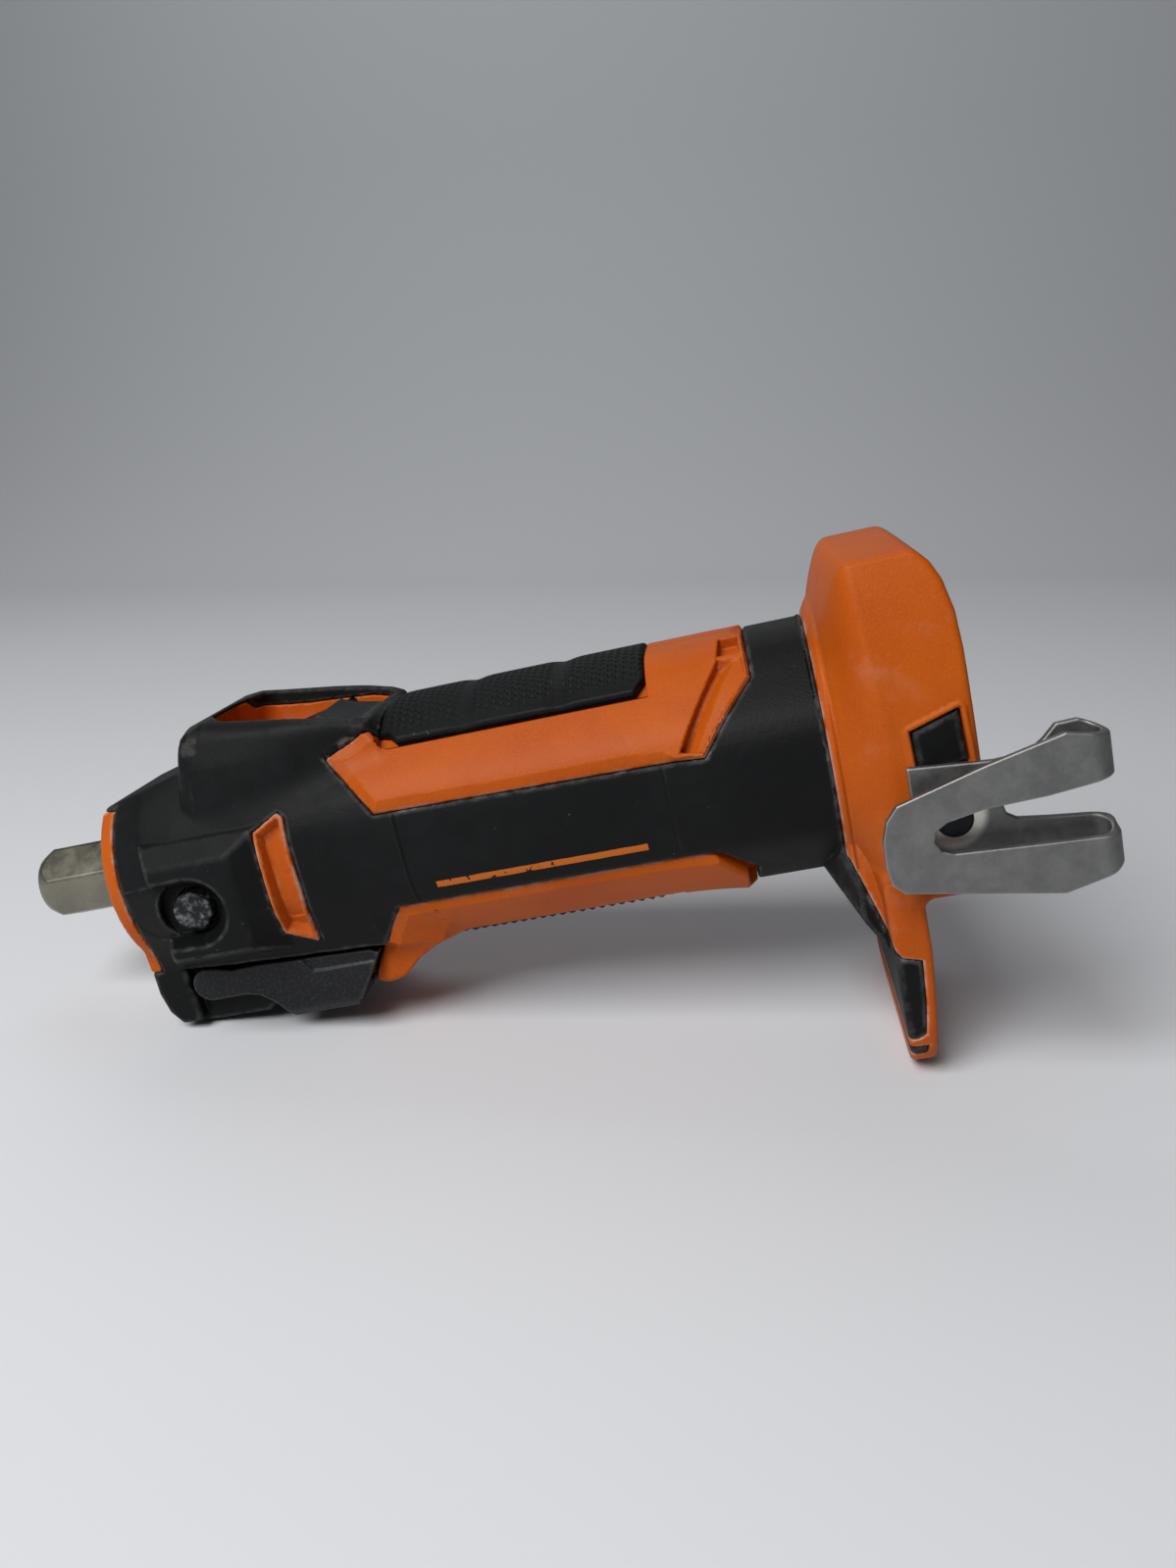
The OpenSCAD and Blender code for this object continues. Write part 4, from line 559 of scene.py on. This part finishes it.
def guard_field(x, y, z):
    """Guard round the lock button: the space under six planes (a * -y + b * x + c * z below d), which are its
    level top, the brow and the ledge over it, the slope downwards, its underside and the slope to the front,
    and under a ruled slope to the rear that falls from the top's edge to the barrel over one length."""
    guard = np.float32(-1e3)
    for a, b, c, d in guard_planes:
        plane = (-a * y + b * x + c * z - d) / np.sqrt(a ** 2 + b ** 2 + c ** 2)
        guard = meet(guard, plane.astype(np.float32), 0.7)
    steep = (GUARD_TOP - np.minimum(30.2, 33.3 + 0.394 * z)) / GUARD_FALL
    guard = meet(guard, (-y - GUARD_TOP + steep * (x - 67.7)) / np.hypot(1, steep), 0.7)
    return highest(guard, y + 22, np.abs(x - 58) - 26)


def scoop_field(x, y, z):
    """Finger scoop: a cone about the button that widens outwards and leans back, with a slot to the front."""
    up = np.clip(-y - SCOOP_Y, 0, 9)
    mid_x, mid_z, r = LOCK_X + 0.34 * up, LOCK_Z + 0.12 * up, 6.1 + 0.36 * up
    ahead = np.maximum(x - mid_x, np.abs(z - mid_z) - r)
    return np.maximum(melt(np.hypot(x - mid_x, z - mid_z) - r, ahead, 0.8), y + SCOOP_Y)


def overmould_field(side):
    """Field of one half's rubber: the skin on the tool's form outside the bare places, with shallow grooves
    round the side panel and, on the left, the guard with its scoop and a solid boss under the button."""
    def field(x, y, z):
        form = tool_form(x, y, z)
        bare, _ = bare_places(x, y, z)
        arc = around(y, z)
        panel = np.abs(np.maximum(np.abs(x - 142) - 32, np.abs(arc + 2.4) - 30))
        outer = form + 0.28 * np.clip(1 - panel / 0.35, 0, 1)
        under = form + skin_depth(x, z)
        if side < 0:
            outer = melt(outer, guard_field(x, y, z), 0.6)
            under = np.maximum(under, -rod_along(x - LOCK_X, z - LOCK_Z, 9.8, (-40, -23.05), y))
        rubber = meet(np.maximum(outer, -under), 0.1 - bare, 0.7)
        cuts = openings(x, y, z, side)
        if side < 0:
            reach = np.minimum(np.hypot(x - LOCK_X, z - LOCK_Z) - 8.6, -0.3 - form)
            cuts = np.minimum(cuts, np.maximum(scoop_field(x, y, z), reach))
        return np.maximum(less(rubber, cuts, 0.6), side * -y)
    return field


def black_rubber(name, marks=None):
    """Black rubber, greyed by plaster dust: cloudy film, pale rubbed edges, fine specks and a matt grain."""
    material, shader, place = start_finish(name, Specular_IOR_Level=0.15)
    wear, seam = place.attribute("wear"), place.attribute("seam")
    film = (place.noise(24, 5, 0.62) * 0.9 + place.noise(150, 5, 0.7) * 0.6).ramp(0.66, 1.05)
    specks = place.noise(900, 2, 0.5).ramp(0.74, 0.8) * place.noise(110, 3).ramp(0.46, 0.62)
    rubbed = wear.ramp(0.012, 0.11) * place.noise(340, 5, 0.7).ramp(0.3, 0.7)
    colour = film.mix(rgb(11, 12, 13), rgb(21, 22, 23))
    colour = (rubbed * 0.4).mix(colour, rgb(92, 93, 90))
    colour = (specks * 0.6).mix(colour, rgb(150, 152, 150))
    hollow = (0 - wear).ramp(0.12, 0.5) * place.noise(150, 4, 0.6).ramp(0.42, 0.7)
    colour = (hollow * 0.35).mix(colour, rgb(150, 146, 140))
    lodged = seam * place.noise(240, 3, 0.5).ramp(0.5, 0.66)
    colour = (lodged * 0.45).mix(colour, rgb(180, 170, 164))
    if marks:
        colour = marks(place, colour)
    rough = 0.52 + film * 0.16 + rubbed * 0.1
    end_finish(place, shader, colour, rough, place.noise(1500, 3, 0.6) + place.noise(420, 2) * 0.5, 0.00009)
    return material


STRIPE_X, STRIPE_Z, STRIPE_HALF, STRIPE_THICK = 0.1416, -0.0096, 0.0258, 0.00085


def side_stripe(place, colour):
    """Thin orange line painted along the lower edge of each side panel, chipped here and there."""
    x, out, z = place.part(0), abs(place.part(1)), place.part(2)
    length = (abs(x - STRIPE_X) < STRIPE_HALF) * (out > 0.02)
    line = abs(z - STRIPE_Z + place.noise(260, 2) * 0.0003) < STRIPE_THICK
    return (length * line * (place.noise(700, 3, 0.6) < 0.63) * 0.92).mix(colour, rgb(196, 104, 34))


skin = black_rubber("black_rubber", side_stripe)
for side, half in ((-1, "left"), (1, "right")):
    reach = sorted((0, 37.4 * side))
    piece = moulded("overmould_%s_skin" % half, overmould_field(side), (31, reach[0], -74), (226, reach[1], 39),
                    0.6, 150000, seam_of)
    dress(piece, skin, "tool", "overmould_" + half)

# Grips: two curved black rubber pads pressed into seats in the handle. The top one has three shallow
# humps under a net of small hexagonal dimples, the lower one has teeth across it.
PAD_R, PAD_RIM = 29.2, 0.9


def grid_faces(rows, columns, ring_rows=False, ring_columns=False):
    """Quads of a grid of points, closed to a ring along its rows or its columns where asked."""
    i = np.arange(rows if ring_rows else rows - 1)[:, None]
    j = np.arange(columns if ring_columns else columns - 1)[None, :]
    k, m = (i + 1) % rows, (j + 1) % columns
    return np.stack((i * columns + j, i * columns + m, k * columns + m, k * columns + j), -1).reshape(-1, 4)


def pad_mesh(name, span, half_turns, height, up):
    """A curved pad: a closed grid round its cross-section, with the outer skin at the given height over its
    seat for (place along the tool, arc from its middle, share of the half width) and rounded rims."""
    fine = 1
    x = np.linspace(*span, 260 // fine)[:, None]
    v = np.linspace(-1, 1, 170 // fine)[None, :]
    turn = np.radians(np.interp(x, *half_turns)) * v
    rim = np.minimum(np.minimum(x - span[0], span[1] - x), (1 - np.abs(v)) * 18)
    outer = PAD_R + height(x, turn * BARREL_R, v) - PAD_RIM * (1 - np.clip(rim / PAD_RIM, 0, 1)) ** 2
    inner = np.full_like(outer, PAD_R)
    ring = np.concatenate((outer, inner[:, ::-1]), axis=1)
    turns = np.concatenate((turn, turn[:, ::-1]), axis=1)
    points = np.stack((np.broadcast_to(x, ring.shape), ring * np.sin(turns), up * ring * np.cos(turns)), axis=-1)
    rows, columns = ring.shape
    skin_faces = grid_faces(rows, columns, ring_columns=True)[:, (0, 3, 2, 1)]
    e = np.arange(columns // 2 - 1)
    front = np.stack((e, e + 1, columns - 2 - e, columns - 1 - e), axis=1)
    faces = np.concatenate((skin_faces, front, front[:, ::-1] + (rows - 1) * columns))
    return new_mesh(name, points.reshape(-1, 3), faces if up < 0 else faces[:, ::-1])


DIP_PLACES, DIMPLE_PITCH, TOOTH_PITCH = (107.8, 129.4, 152.7), 1.9, 2.6


def dimpled(x, arc, v):
    """Three humps, each rising behind a dip, less hexagonal dimples where three waves at 60 degrees meet."""
    dips = sum(0.55 * np.exp(-((x - at) / 2.4) ** 2) for at in DIP_PLACES)
    ways = np.radians((0, 60, 120))
    waves = sum(np.cos(2 * np.pi / DIMPLE_PITCH * (x * np.cos(t) + arc * np.sin(t))) for t in ways)
    field = np.clip(dips.max() - dips, 0, 0.4) / 0.4 * np.clip((0.93 - np.abs(v)) / 0.2, 0, 1)
    return 2.65 - dips - 0.16 * np.clip(waves + 0.4, 0, 2) * field


def toothed(x, arc, v):
    """Teeth across the pad, each with a steep and a gentle side, fading out at the ends."""
    tooth = np.mod(x / TOOTH_PITCH, 1)
    ends = np.clip(np.minimum(x - 108, 171 - x) / 6, 0, 1) * np.clip((0.95 - np.abs(v)) / 0.2, 0, 1)
    return 2.0 + 0.8 * ends * np.minimum(tooth / 0.7, (1 - tooth) / 0.3)


pad_rubber = black_rubber("grip_rubber")
for name, span, half_turns, height, up in (
        ("top_grip", (107.6, 173.5), ((107.6, 110, 112.4, 170.6, 173.5), (32.6, 34, 39.4, 39.6, 31)), dimpled, 1),
        ("bottom_grip", (107.6, 171.4), ((107.6, 112, 167, 171.4), (20, 26.5, 26.5, 20)), toothed, -1)):
    dress(pad_mesh(name + "_pad", span, half_turns, height, up), pad_rubber, "tool", name)

# Bumpers: rubber blocks glued into a recess on each side of the foot, inside a thin orange rim. The tool
# can lie on them without scratching the foot.


def no_seam(points):
    """No parting line on this piece."""
    return np.zeros(len(points))


def bumper_field(x, y, z):
    """Block with the recess's outline, its outer edges rounded, level with the foot's side."""
    return np.maximum(meet(outline(bumper_edge, x, z) + 0.1, np.abs(y) - FOOT_OUT, 1.4), 34.9 - np.abs(y))


for side, half in ((-1, "left"), (1, "right")):
    reach = sorted((34.5 * side, 37.8 * side))
    block = moulded("side_bumper_%s_block" % half, bumper_field, (228, reach[0], -3), (240.4, reach[1], 12),
                    0.3, 8000, no_seam)
    dress(block, pad_rubber, "tool", "side_bumper_" + half)

# Rocker: black nylon paddle of the on/off switch, with a ridge across its middle and two hollowed halves,
# turning on a steel pin in the hood.
ROCKER_X, ROCKER_HALF = 91, 12.5


def rocker_field(x, y, z):
    """Rocker: its top falls from the ridge by about 4 mm times the square root of the share of the half length,
    and its underside is flat with both ends drawn up."""
    u = np.abs(x - ROCKER_X)
    top = (z - 33.3 + graded(x, (90, 92), (4, 3.7)) * np.sqrt(np.hypot(u, 0.3) / ROCKER_HALF)) * 0.85
    under = 27.9 - z + 0.22 * np.maximum(u - 5, 0)
    return meet(meet(np.maximum(top, under * 0.9), u - ROCKER_HALF, 0.8), np.abs(y) - 10, 0.8)


def black_nylon(name, scuff, gloss=0.28, patch=1300):
    """Black nylon, a little shinier than the rubber, with a fine grain and pale scuffs on its edges."""
    material, shader, place = start_finish(name, Specular_IOR_Level=gloss)
    film = place.noise(60, 4, 0.6).ramp(0.35, 0.75)
    worn = place.noise(patch, 5, 0.7).ramp(0.46, 0.74) * scuff + place.attribute("wear").ramp(0.05, 0.3) * 0.16
    colour = film.mix(rgb(11, 12, 14), rgb(19, 20, 23))
    colour = worn.mix(colour, rgb(140, 142, 148))
    end_finish(place, shader, colour, 0.4 + film * 0.15 + worn * 0.2, place.noise(1800, 3, 0.6), 0.00006)
    return material


rocker = moulded("switch_rocker_paddle", rocker_field, (78, -10.5, 25), (104, 10.5, 34), 0.3, 20000, no_seam)
dress(rocker, black_nylon("black_plastic", 0.04, 0.12), "rocker", "switch_rocker")

# Lock button: round black nylon cap in the guard's scoop, pushed by the thumb to stop the spindle. Its
# face is chalky from use.


def closed_up(piece):
    """Piece with the points that fall together merged and all faces turned outwards."""
    whole = bmesh.new()
    whole.from_mesh(piece.data)
    bmesh.ops.remove_doubles(whole, verts=whole.verts, dist=1e-7)
    bmesh.ops.recalc_face_normals(whole, faces=whole.faces)
    whole.to_mesh(piece.data)
    whole.free()
    piece.data.shade_smooth()
    piece.data.set_sharp_from_angle(angle=np.radians(40))
    return piece


def turned_mesh(name, profile, centre, count=96):
    """A closed solid turned about a line along Y through centre (x, z), from (radius, y) points on it."""
    r, y = np.array(profile, float).T
    t = np.linspace(0, 2 * np.pi, count, endpoint=False)[:, None]
    n = len(y)
    points = np.stack((centre[0] + r * np.cos(t), np.broadcast_to(y, (count, n)), centre[1] + r * np.sin(t)), -1)
    return closed_up(new_mesh(name, points.reshape(-1, 3), grid_faces(count, n, ring_rows=True)))


cap_profile = ((0, -29.3), (2.4, -29.35), (3.8, -29.5), (4.5, -29.4), (4.85, -29.05), (5, -28.5), (5, -23.3),
               (6, -23.3), (6, -21.8), (2.05, -21.8), (2.05, -24.4), (0, -24.4))
button = turned_mesh("lock_button_cap", cap_profile, (LOCK_X, LOCK_Z))
dress(button, black_nylon("button_plastic", 0.75, 0.28, 420), "lock", "lock_button")

# Guide lever: black nylon yoke with an arm down each side of the bracket and a paddle across the bottom.
# It turns a cam that clamps the depth guide. Its outer faces have a stepped facet towards the paddle.
LEVER_OUT, LEVER_IN, PADDLE_Z = 22.2, 18.4, -37.6
lever_side = ((46, -23.9), (49.8, -24.3), (53.8, -25.4), (61.6, -25.1), (71, -25.6), (91.2, -26.3), (93.5, -27.5),
              (91, -31.5), (85.4, -39.6), (66.1, -39.2), (64.2, -37.8), (62.1, -35.6), (59.1, -33.4), (55.4, -32.7),
              (46, -32.9))
lever_paddle = ((64, PADDLE_Z), (85.6, PADDLE_Z), (84, -41.4), (66, -41.8))
lever_facet = ((72, -24), (75.4, -29.2), (96, -29.6), (96, -22))


def lever_field(x, y, z):
    """Lever: its side outline with a round end, hollow between the arms above the paddle, with the upper
    rear facet of each outer face set back by 0.6 mm and the paddle's lower edges bevelled."""
    out = np.abs(y)
    side = lowest(outline(lever_side, x, z), np.hypot(x - PIVOT_X, z - PIVOT_Z) - 4.4, outline(lever_paddle, x, z))
    step = 0.6 * np.clip(0.5 - outline(lever_facet, x, z) * 1.2, 0, 1)
    bevel = (out - LEVER_OUT - 0.7 * (z + 38.6)) * 0.82
    whole = meet(meet(side, out - LEVER_OUT + step, 0.7), bevel, 0.8)
    return less(whole, np.maximum(out - LEVER_IN, PADDLE_Z - z), 0.3)


lever = moulded("guide_lever_yoke", lever_field, (41.8, -22.6, -42.2), (94, 22.6, -23.4), 0.4, 60000, no_seam)
dress(lever, black_nylon("lever_plastic", 0.1), "lever", "guide_lever")

# Collet nut: nickel-plated steel, turned from hexagon bar, chamfered at its tip and bored for the collet. It
# screws onto the spindle's thread.


def nut_mesh():
    """Hexagon nut: for each turn, the radius is the least of the flats' distance with eased corners and
    the chamfer's cone, and the ring of stations runs out along it and back through the bore, where the
    radius is given."""
    t = np.linspace(0, 2 * np.pi, 360, endpoint=False)[:, None]
    wedge = np.mod(t - np.radians(41), np.pi / 3) - np.pi / 6
    flat = np.minimum(9 / np.cos(wedge), 10.15)
    outside = np.concatenate((np.linspace(0.12, 4, 26), np.linspace(5, 34, 12)))
    stations = np.array([(0.0, s) for s in (4.6, 7.2, 7.8)] + [(x, np.inf) for x in outside]
                        + [(34, 7.7), (12, 7.7), (1.2, 4.6)])
    x, given = stations.T
    cone = 8.05 + 0.62 * x - 0.02 * x ** 2
    r = np.minimum(flat, np.where(np.isinf(given), cone, given))
    points = np.stack((np.broadcast_to(x, r.shape), r * np.cos(t), r * np.sin(t)), axis=-1).reshape(-1, 3)
    piece = new_mesh("collet_nut_hex", points, grid_faces(*r.shape, ring_rows=True, ring_columns=True))
    piece.data.set_sharp_from_angle(angle=np.radians(30))
    return piece


def metal(name, dark, light, rough, grain=600, dents=0.00003, **constants):
    """Metal with cloudy tone between two colours, uneven roughness and fine marks."""
    material, shader, place = start_finish(name, Metallic=1.0, **constants)
    cloud = place.noise(90, 5, 0.65).ramp(0.3, 0.72)
    fine = place.noise(grain, 4, 0.65)
    colour = (cloud * 0.7 + fine * 0.4).mix(dark, light)
    end_finish(place, shader, colour, cloud * 0.12 + fine * 0.14 + rough - 0.12, fine, dents)
    return material


nickel = metal("nickel_steel", rgb(116, 112, 100), rgb(146, 142, 129), 0.34)
dress(nut_mesh(), nickel, "nut", "collet_nut")

# Belt hook: one strip of tumbled spring steel, cut to a fork and folded back at both prong ends, held by
# a single black screw in a dished seat on its inner leaf.
STRIP_T, BEND_X, BEND_Y, BEND_R = 1.8, 262.2, -41.9, 3.9
fork_side = ((222.4, -4.9), (219.8, -8), (218.5, -12.3), (218.3, -18.1), (219, -22.4), (221.4, -24.7),
             (253.8, -30.4), (264.3, -27.8), (267.1, -26.4), (267.1, -19.4), (251.6, -18.6), (232.6, -17.4),
             (230.2, -16.4), (229, -14.1), (229.6, -11.9), (232.1, -10.4), (240, -8.9), (252.8, -8.4), (267.1, -6.8),
             (267.1, 2.1), (257.5, 4.3), (241, 0.4))
leaf_side = ((226.4, 0.4), (244.3, -1.2), (251.5, -0.8), (254.8, 1.6), (257.5, 4.3), (262, 4.5), (267.1, 2.1),
             (267.1, -6.8), (252.8, -8.4), (246.4, -9), (244.9, -11), (245.5, -13.4), (247.6, -14.8), (253.9, -15.7),
             (267.1, -17.2), (267.1, -26.4), (264.3, -27.8), (253.8, -30.4), (243, -28.5), (241, -20.8),
             (226.4, -20.8))


def hook_field(x, y, z):
    """Strip along a U: two flat leaves and a half round bend, cut to the fork's outline on its outer leaf, to
    the wider leaf's outline on the inner one, and to a blend of both on the bend."""
    bend = np.hypot(x - BEND_X, y - BEND_Y) - BEND_R
    path = np.where(x > BEND_X, np.abs(bend), np.abs(np.abs(y - BEND_Y) - BEND_R))
    inward = np.clip((y + 44.9) / 6, 0, 1)
    shape = (1 - inward) * outline(fork_side, x, z) + inward * outline(leaf_side, x, z)
    hole = np.maximum(np.hypot(x - HOOK_X, z - HOOK_Z) - 2.2, BEND_Y - y)
    return np.maximum(meet(path - STRIP_T / 2, shape, 0.5), -hole)


def hook_steel():
    """Tumbled steel: mid grey with cloudy mottling and scratches, polished bright round the screw."""
    material, shader, place = start_finish("tumbled_steel", Metallic=1.0)
    x, y, z = (place.part(i) for i in range(3))
    along, up = x - HOOK_X * 0.001, z - HOOK_Z * 0.001
    apart = along * along + up * up
    dish = (y > -0.0425) * (1 - apart.ramp(0.000034, 0.000062))
    cloud, fine = place.noise(160, 6, 0.7).ramp(0.3, 0.72), place.noise(1300, 4, 0.65)
    colour = (cloud * 0.6 + fine * 0.4).mix(rgb(112, 112, 112), rgb(146, 146, 144))
    colour = (place.attribute("wear").ramp(0.1, 0.4) * 0.6).mix(colour, rgb(205, 204, 200))
    colour = dish.mix(colour, rgb(232, 230, 220))
    rough = 0.42 + cloud * 0.1 + fine * 0.16 - dish * 0.1
    end_finish(place, shader, colour, rough, fine + place.noise(420, 3) * 0.6, 0.00005)
    return material


hook = moulded("belt_hook_strip", hook_field, (218, -47, -31), (267.4, -36.8, 5), 0.35, 60000, no_seam)
dress(hook, hook_steel(), "tool", "belt_hook")


def softened(node, name, width):
    """A bevelled copy of a solid: its mesh with joined points and flat faces, and edges rounded by width."""
    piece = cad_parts[node].copy()
    piece.data = piece.data.copy()
    piece.name = piece.data.name = name
    piece.parent = None
    piece.matrix_world = Matrix.Identity(4)
    bpy.context.scene.collection.objects.link(piece)
    whole = bmesh.new()
    whole.from_mesh(piece.data)
    bmesh.ops.remove_doubles(whole, verts=whole.verts, dist=1e-6)
    bmesh.ops.dissolve_limit(whole, angle_limit=0.01, verts=whole.verts, edges=whole.edges)
    whole.to_mesh(piece.data)
    whole.free()
    piece.data.normals_split_custom_set_from_vertices(np.zeros((len(piece.data.vertices), 3)).tolist())
    soft = piece.modifiers.new("soft", "BEVEL")
    soft.width, soft.segments, soft.limit_method, soft.angle_limit = width * 0.001, 3, "ANGLE", np.radians(35)
    baked(piece)
    piece.data.shade_smooth()
    piece.data.set_sharp_from_angle(angle=np.radians(35))
    return piece


screw_black = metal("black_screw_steel", rgb(30, 31, 33), rgb(52, 53, 56), 0.45)
dress(softened("hook_screw", "hook_screw_head", 0.5), screw_black, "tool", "hook_screw")

# Lock spring: a coil of bright steel wire between the lock button and its seat in the housing, which on
# the tool shortens as the button goes in; here it is built at one length.
SPRING_R, WIRE_R, SPRING_TURNS, LOCK_TRAVEL = 3, 0.4, 5, 3


def coil_mesh(name, centre, r, wire, span, turns):
    """Round wire on a helix about a line along Y: its middle stays r from the line and climbs evenly over the
    span. The rings at both ends have no width, and close it."""
    t = 2 * np.pi * turns * np.concatenate(((0,), np.linspace(0, 1, 24 * turns + 1), (1,)))[:, None]
    a = np.linspace(0, 2 * np.pi, 12, endpoint=False)
    thick = np.full(t.shape, wire)
    thick[[0, -1]] = 0
    out = r + thick * np.cos(a)
    climb = span[0] + (span[1] - span[0]) * t / t[-1] + thick * np.sin(a)
    points = np.stack((centre[0] + out * np.cos(t), climb, centre[1] + out * np.sin(t)), -1)
    return closed_up(new_mesh(name, points.reshape(-1, 3), grid_faces(*out.shape, ring_columns=True)))


spring_low, spring_high = (float(corner[1]) * 1000 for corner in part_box("lock_spring"))
spring = coil_mesh("lock_spring_coil", (LOCK_X, LOCK_Z), SPRING_R, WIRE_R,
                   (spring_low + WIRE_R, spring_high - WIRE_R), SPRING_TURNS)
bright = metal("bright_steel", rgb(178, 179, 182), rgb(206, 207, 210), 0.3)
dress(spring, bright, "tool", "lock_spring")
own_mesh(spring)

# Inside and on the far side: pins, bearings, motor, fan, switch, board, contacts and screws keep the
# solids' own shape. They show only through vents, pocket, channel and bores.


def matt(name, dark, light, rough, scale=300):
    """Plain moulded or pressed material with a cloudy tone and a fine grain."""
    material, shader, place = start_finish(name)
    cloud = place.noise(scale, 4, 0.6)
    colour = cloud.ramp(0.3, 0.7).mix(dark, light)
    end_finish(place, shader, colour, cloud * 0.2 + rough - 0.1, place.noise(1600, 2), 0.00004)
    return material


inside = (
    (screw_black, ("housing_screws", "rocker_pin", "cam_pin")),
    (bright, ("lock_pin", "clamp_pad", "collet", "spindle", "front_bearing_outer", "front_bearing_inner",
              "front_bearing_balls", "rear_bearing_outer", "rear_bearing_inner", "rear_bearing_balls")),
    (metal("zinc_can", rgb(150, 154, 158), rgb(184, 188, 192), 0.42), ("motor_can",)),
    (metal("core_steel", rgb(92, 94, 98), rgb(122, 124, 128), 0.5, 1400), ("armature",)),
    (metal("copper", rgb(168, 92, 52), rgb(206, 128, 82), 0.36, 1800, 0.0001), ("windings", "commutator")),
    (metal("brass", rgb(176, 142, 70), rgb(212, 180, 108), 0.34), ("contact_blades", "hook_inserts")),
    (metal("sink_aluminium", rgb(176, 178, 182), rgb(208, 210, 214), 0.4), ("heat_sink",)),
    (matt("ferrite", rgb(44, 44, 47), rgb(60, 60, 63), 0.6), ("magnets",)),
    (matt("carbon", rgb(26, 26, 28), rgb(40, 40, 42), 0.7), ("brushes",)),
    (matt("pale_plastic", rgb(196, 192, 180), rgb(212, 208, 198), 0.5), ("brush_holder", "cooling_fan")),
    (matt("board_green", rgb(28, 84, 52), rgb(42, 104, 66), 0.4), ("circuit_board",)),
    (matt("dark_plastic", rgb(28, 29, 31), rgb(40, 41, 44), 0.48), ("switch_body", "switch_rod", "terminal_block")),
)
for material, names in inside:
    for name in names:
        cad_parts[name].data.materials.clear()
        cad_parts[name].data.materials.append(material)

# Stage: a pale studio sweep under the tool, which lies on its guide bracket and on the foot's plate, so
# the floor leans against the tool's own axis. The camera stands a forearm away, as for a snapshot. One wide
# soft light hangs over it, a weak one over the wall, and the room gives a faint fill.
bracket_rest, plate_rest, floor_gap = (38.5, -40), (218, -76), 0.3
floor_turn = np.arctan2(plate_rest[1] - bracket_rest[1], plate_rest[0] - bracket_rest[0])
camera = bpy.data.cameras.new("photo_camera")
camera.sensor_fit, camera.sensor_height = "VERTICAL", 36
camera.lens = 36 * 1200 / 1599
camera.clip_start, camera.clip_end = 0.01, 20
viewer = bpy.data.objects.new("photo_camera", camera)
right, down, ahead = np.array(((0.96806, 0.11205, -0.22429), (-0.18393, -0.29053, -0.93902),
                               (-0.17038, 0.95028, -0.26064)))
stand = np.eye(4)
stand[:3, :3] = np.stack((right, -down, -ahead), axis=1)
stand[:3, 3] = (0.20292, -0.28521, 0.07787)
viewer.matrix_world = Matrix(stand.tolist())
bpy.context.scene.collection.objects.link(viewer)
bpy.context.scene.camera = viewer


def sweep(front=-1500, rear=900, bend=500, top=2200, half_width=2600):
    """Studio sweep: a floor line that bends up into a wall, carried sideways, leaning with the floor."""
    turn = np.linspace(0.05, np.pi / 2, 24)
    back = np.concatenate((np.linspace(front, rear, 25), rear + bend * np.sin(turn), np.full(10, rear + bend)))
    rise = np.concatenate((np.zeros(25), bend - bend * np.cos(turn), np.linspace(bend + 60, top, 10)))
    wide = np.linspace(-half_width, half_width, 27)
    w, b = np.meshgrid(wide, back, indexing="ij")
    h = np.broadcast_to(rise, w.shape)
    c, s = np.cos(floor_turn), np.sin(floor_turn)
    points = np.stack((bracket_rest[0] + w * c - h * s, b, bracket_rest[1] - floor_gap + w * s + h * c),
                      axis=-1).reshape(-1, 3)
    return new_mesh("sweep", points, grid_faces(*w.shape)[:, (0, 3, 2, 1)])


paper, shader, place = start_finish("sweep_paper", Specular_IOR_Level=0.2)
tone = place.noise(3, 2).mix(rgb(226, 227, 230), rgb(220, 222, 225))
# Painted shade: the paper is painted darker from 0.75 m to 1.5 m back, up the wall, standing in for the light
# falling off there.
tone = place.part(1).ramp(0.75, 1.5).mix(tone, rgb(196, 199, 202))
end_finish(place, shader, tone, place.noise(40) * 0.1 + 0.6)
floor = sweep()
floor.data.materials.append(paper)


def aimed(spot, aim):
    """Place and turn of a lamp: its back points from aim to spot, and one side lies across the Y axis."""
    away = np.array(spot) - np.array(aim)
    away /= np.linalg.norm(away)
    across = np.cross((0.0, 1.0, 0.0), away)
    across /= np.linalg.norm(across)
    turn = np.eye(4)
    turn[:3, :3] = np.stack((across, np.cross(away, across), away), axis=1)
    turn[:3, 3] = spot
    return Matrix(turn.tolist())


for name, spot, aim, size, power in (("softbox", (-0.1, -0.74, 0.92), (0.12, 0.0, 0.0), 0.7, 15.5),
                                     ("rear", (0.1, 0.9, 1.3), (0.12, 0.7, 0.0), 1.0, 3)):
    lamp = bpy.data.lights.new(name, "AREA")
    lamp.energy, lamp.size = power, size
    light = bpy.data.objects.new(name, lamp)
    light.matrix_world = aimed(spot, aim)
    bpy.context.scene.collection.objects.link(light)
world = bpy.data.worlds.new("studio")
world.use_nodes = True
fill = world.node_tree.nodes["Background"]
fill.inputs["Color"].default_value, fill.inputs["Strength"].default_value = rgb(200, 204, 210), 0.12
bpy.context.scene.world = world
bpy.context.scene.view_settings.view_transform = "Standard"
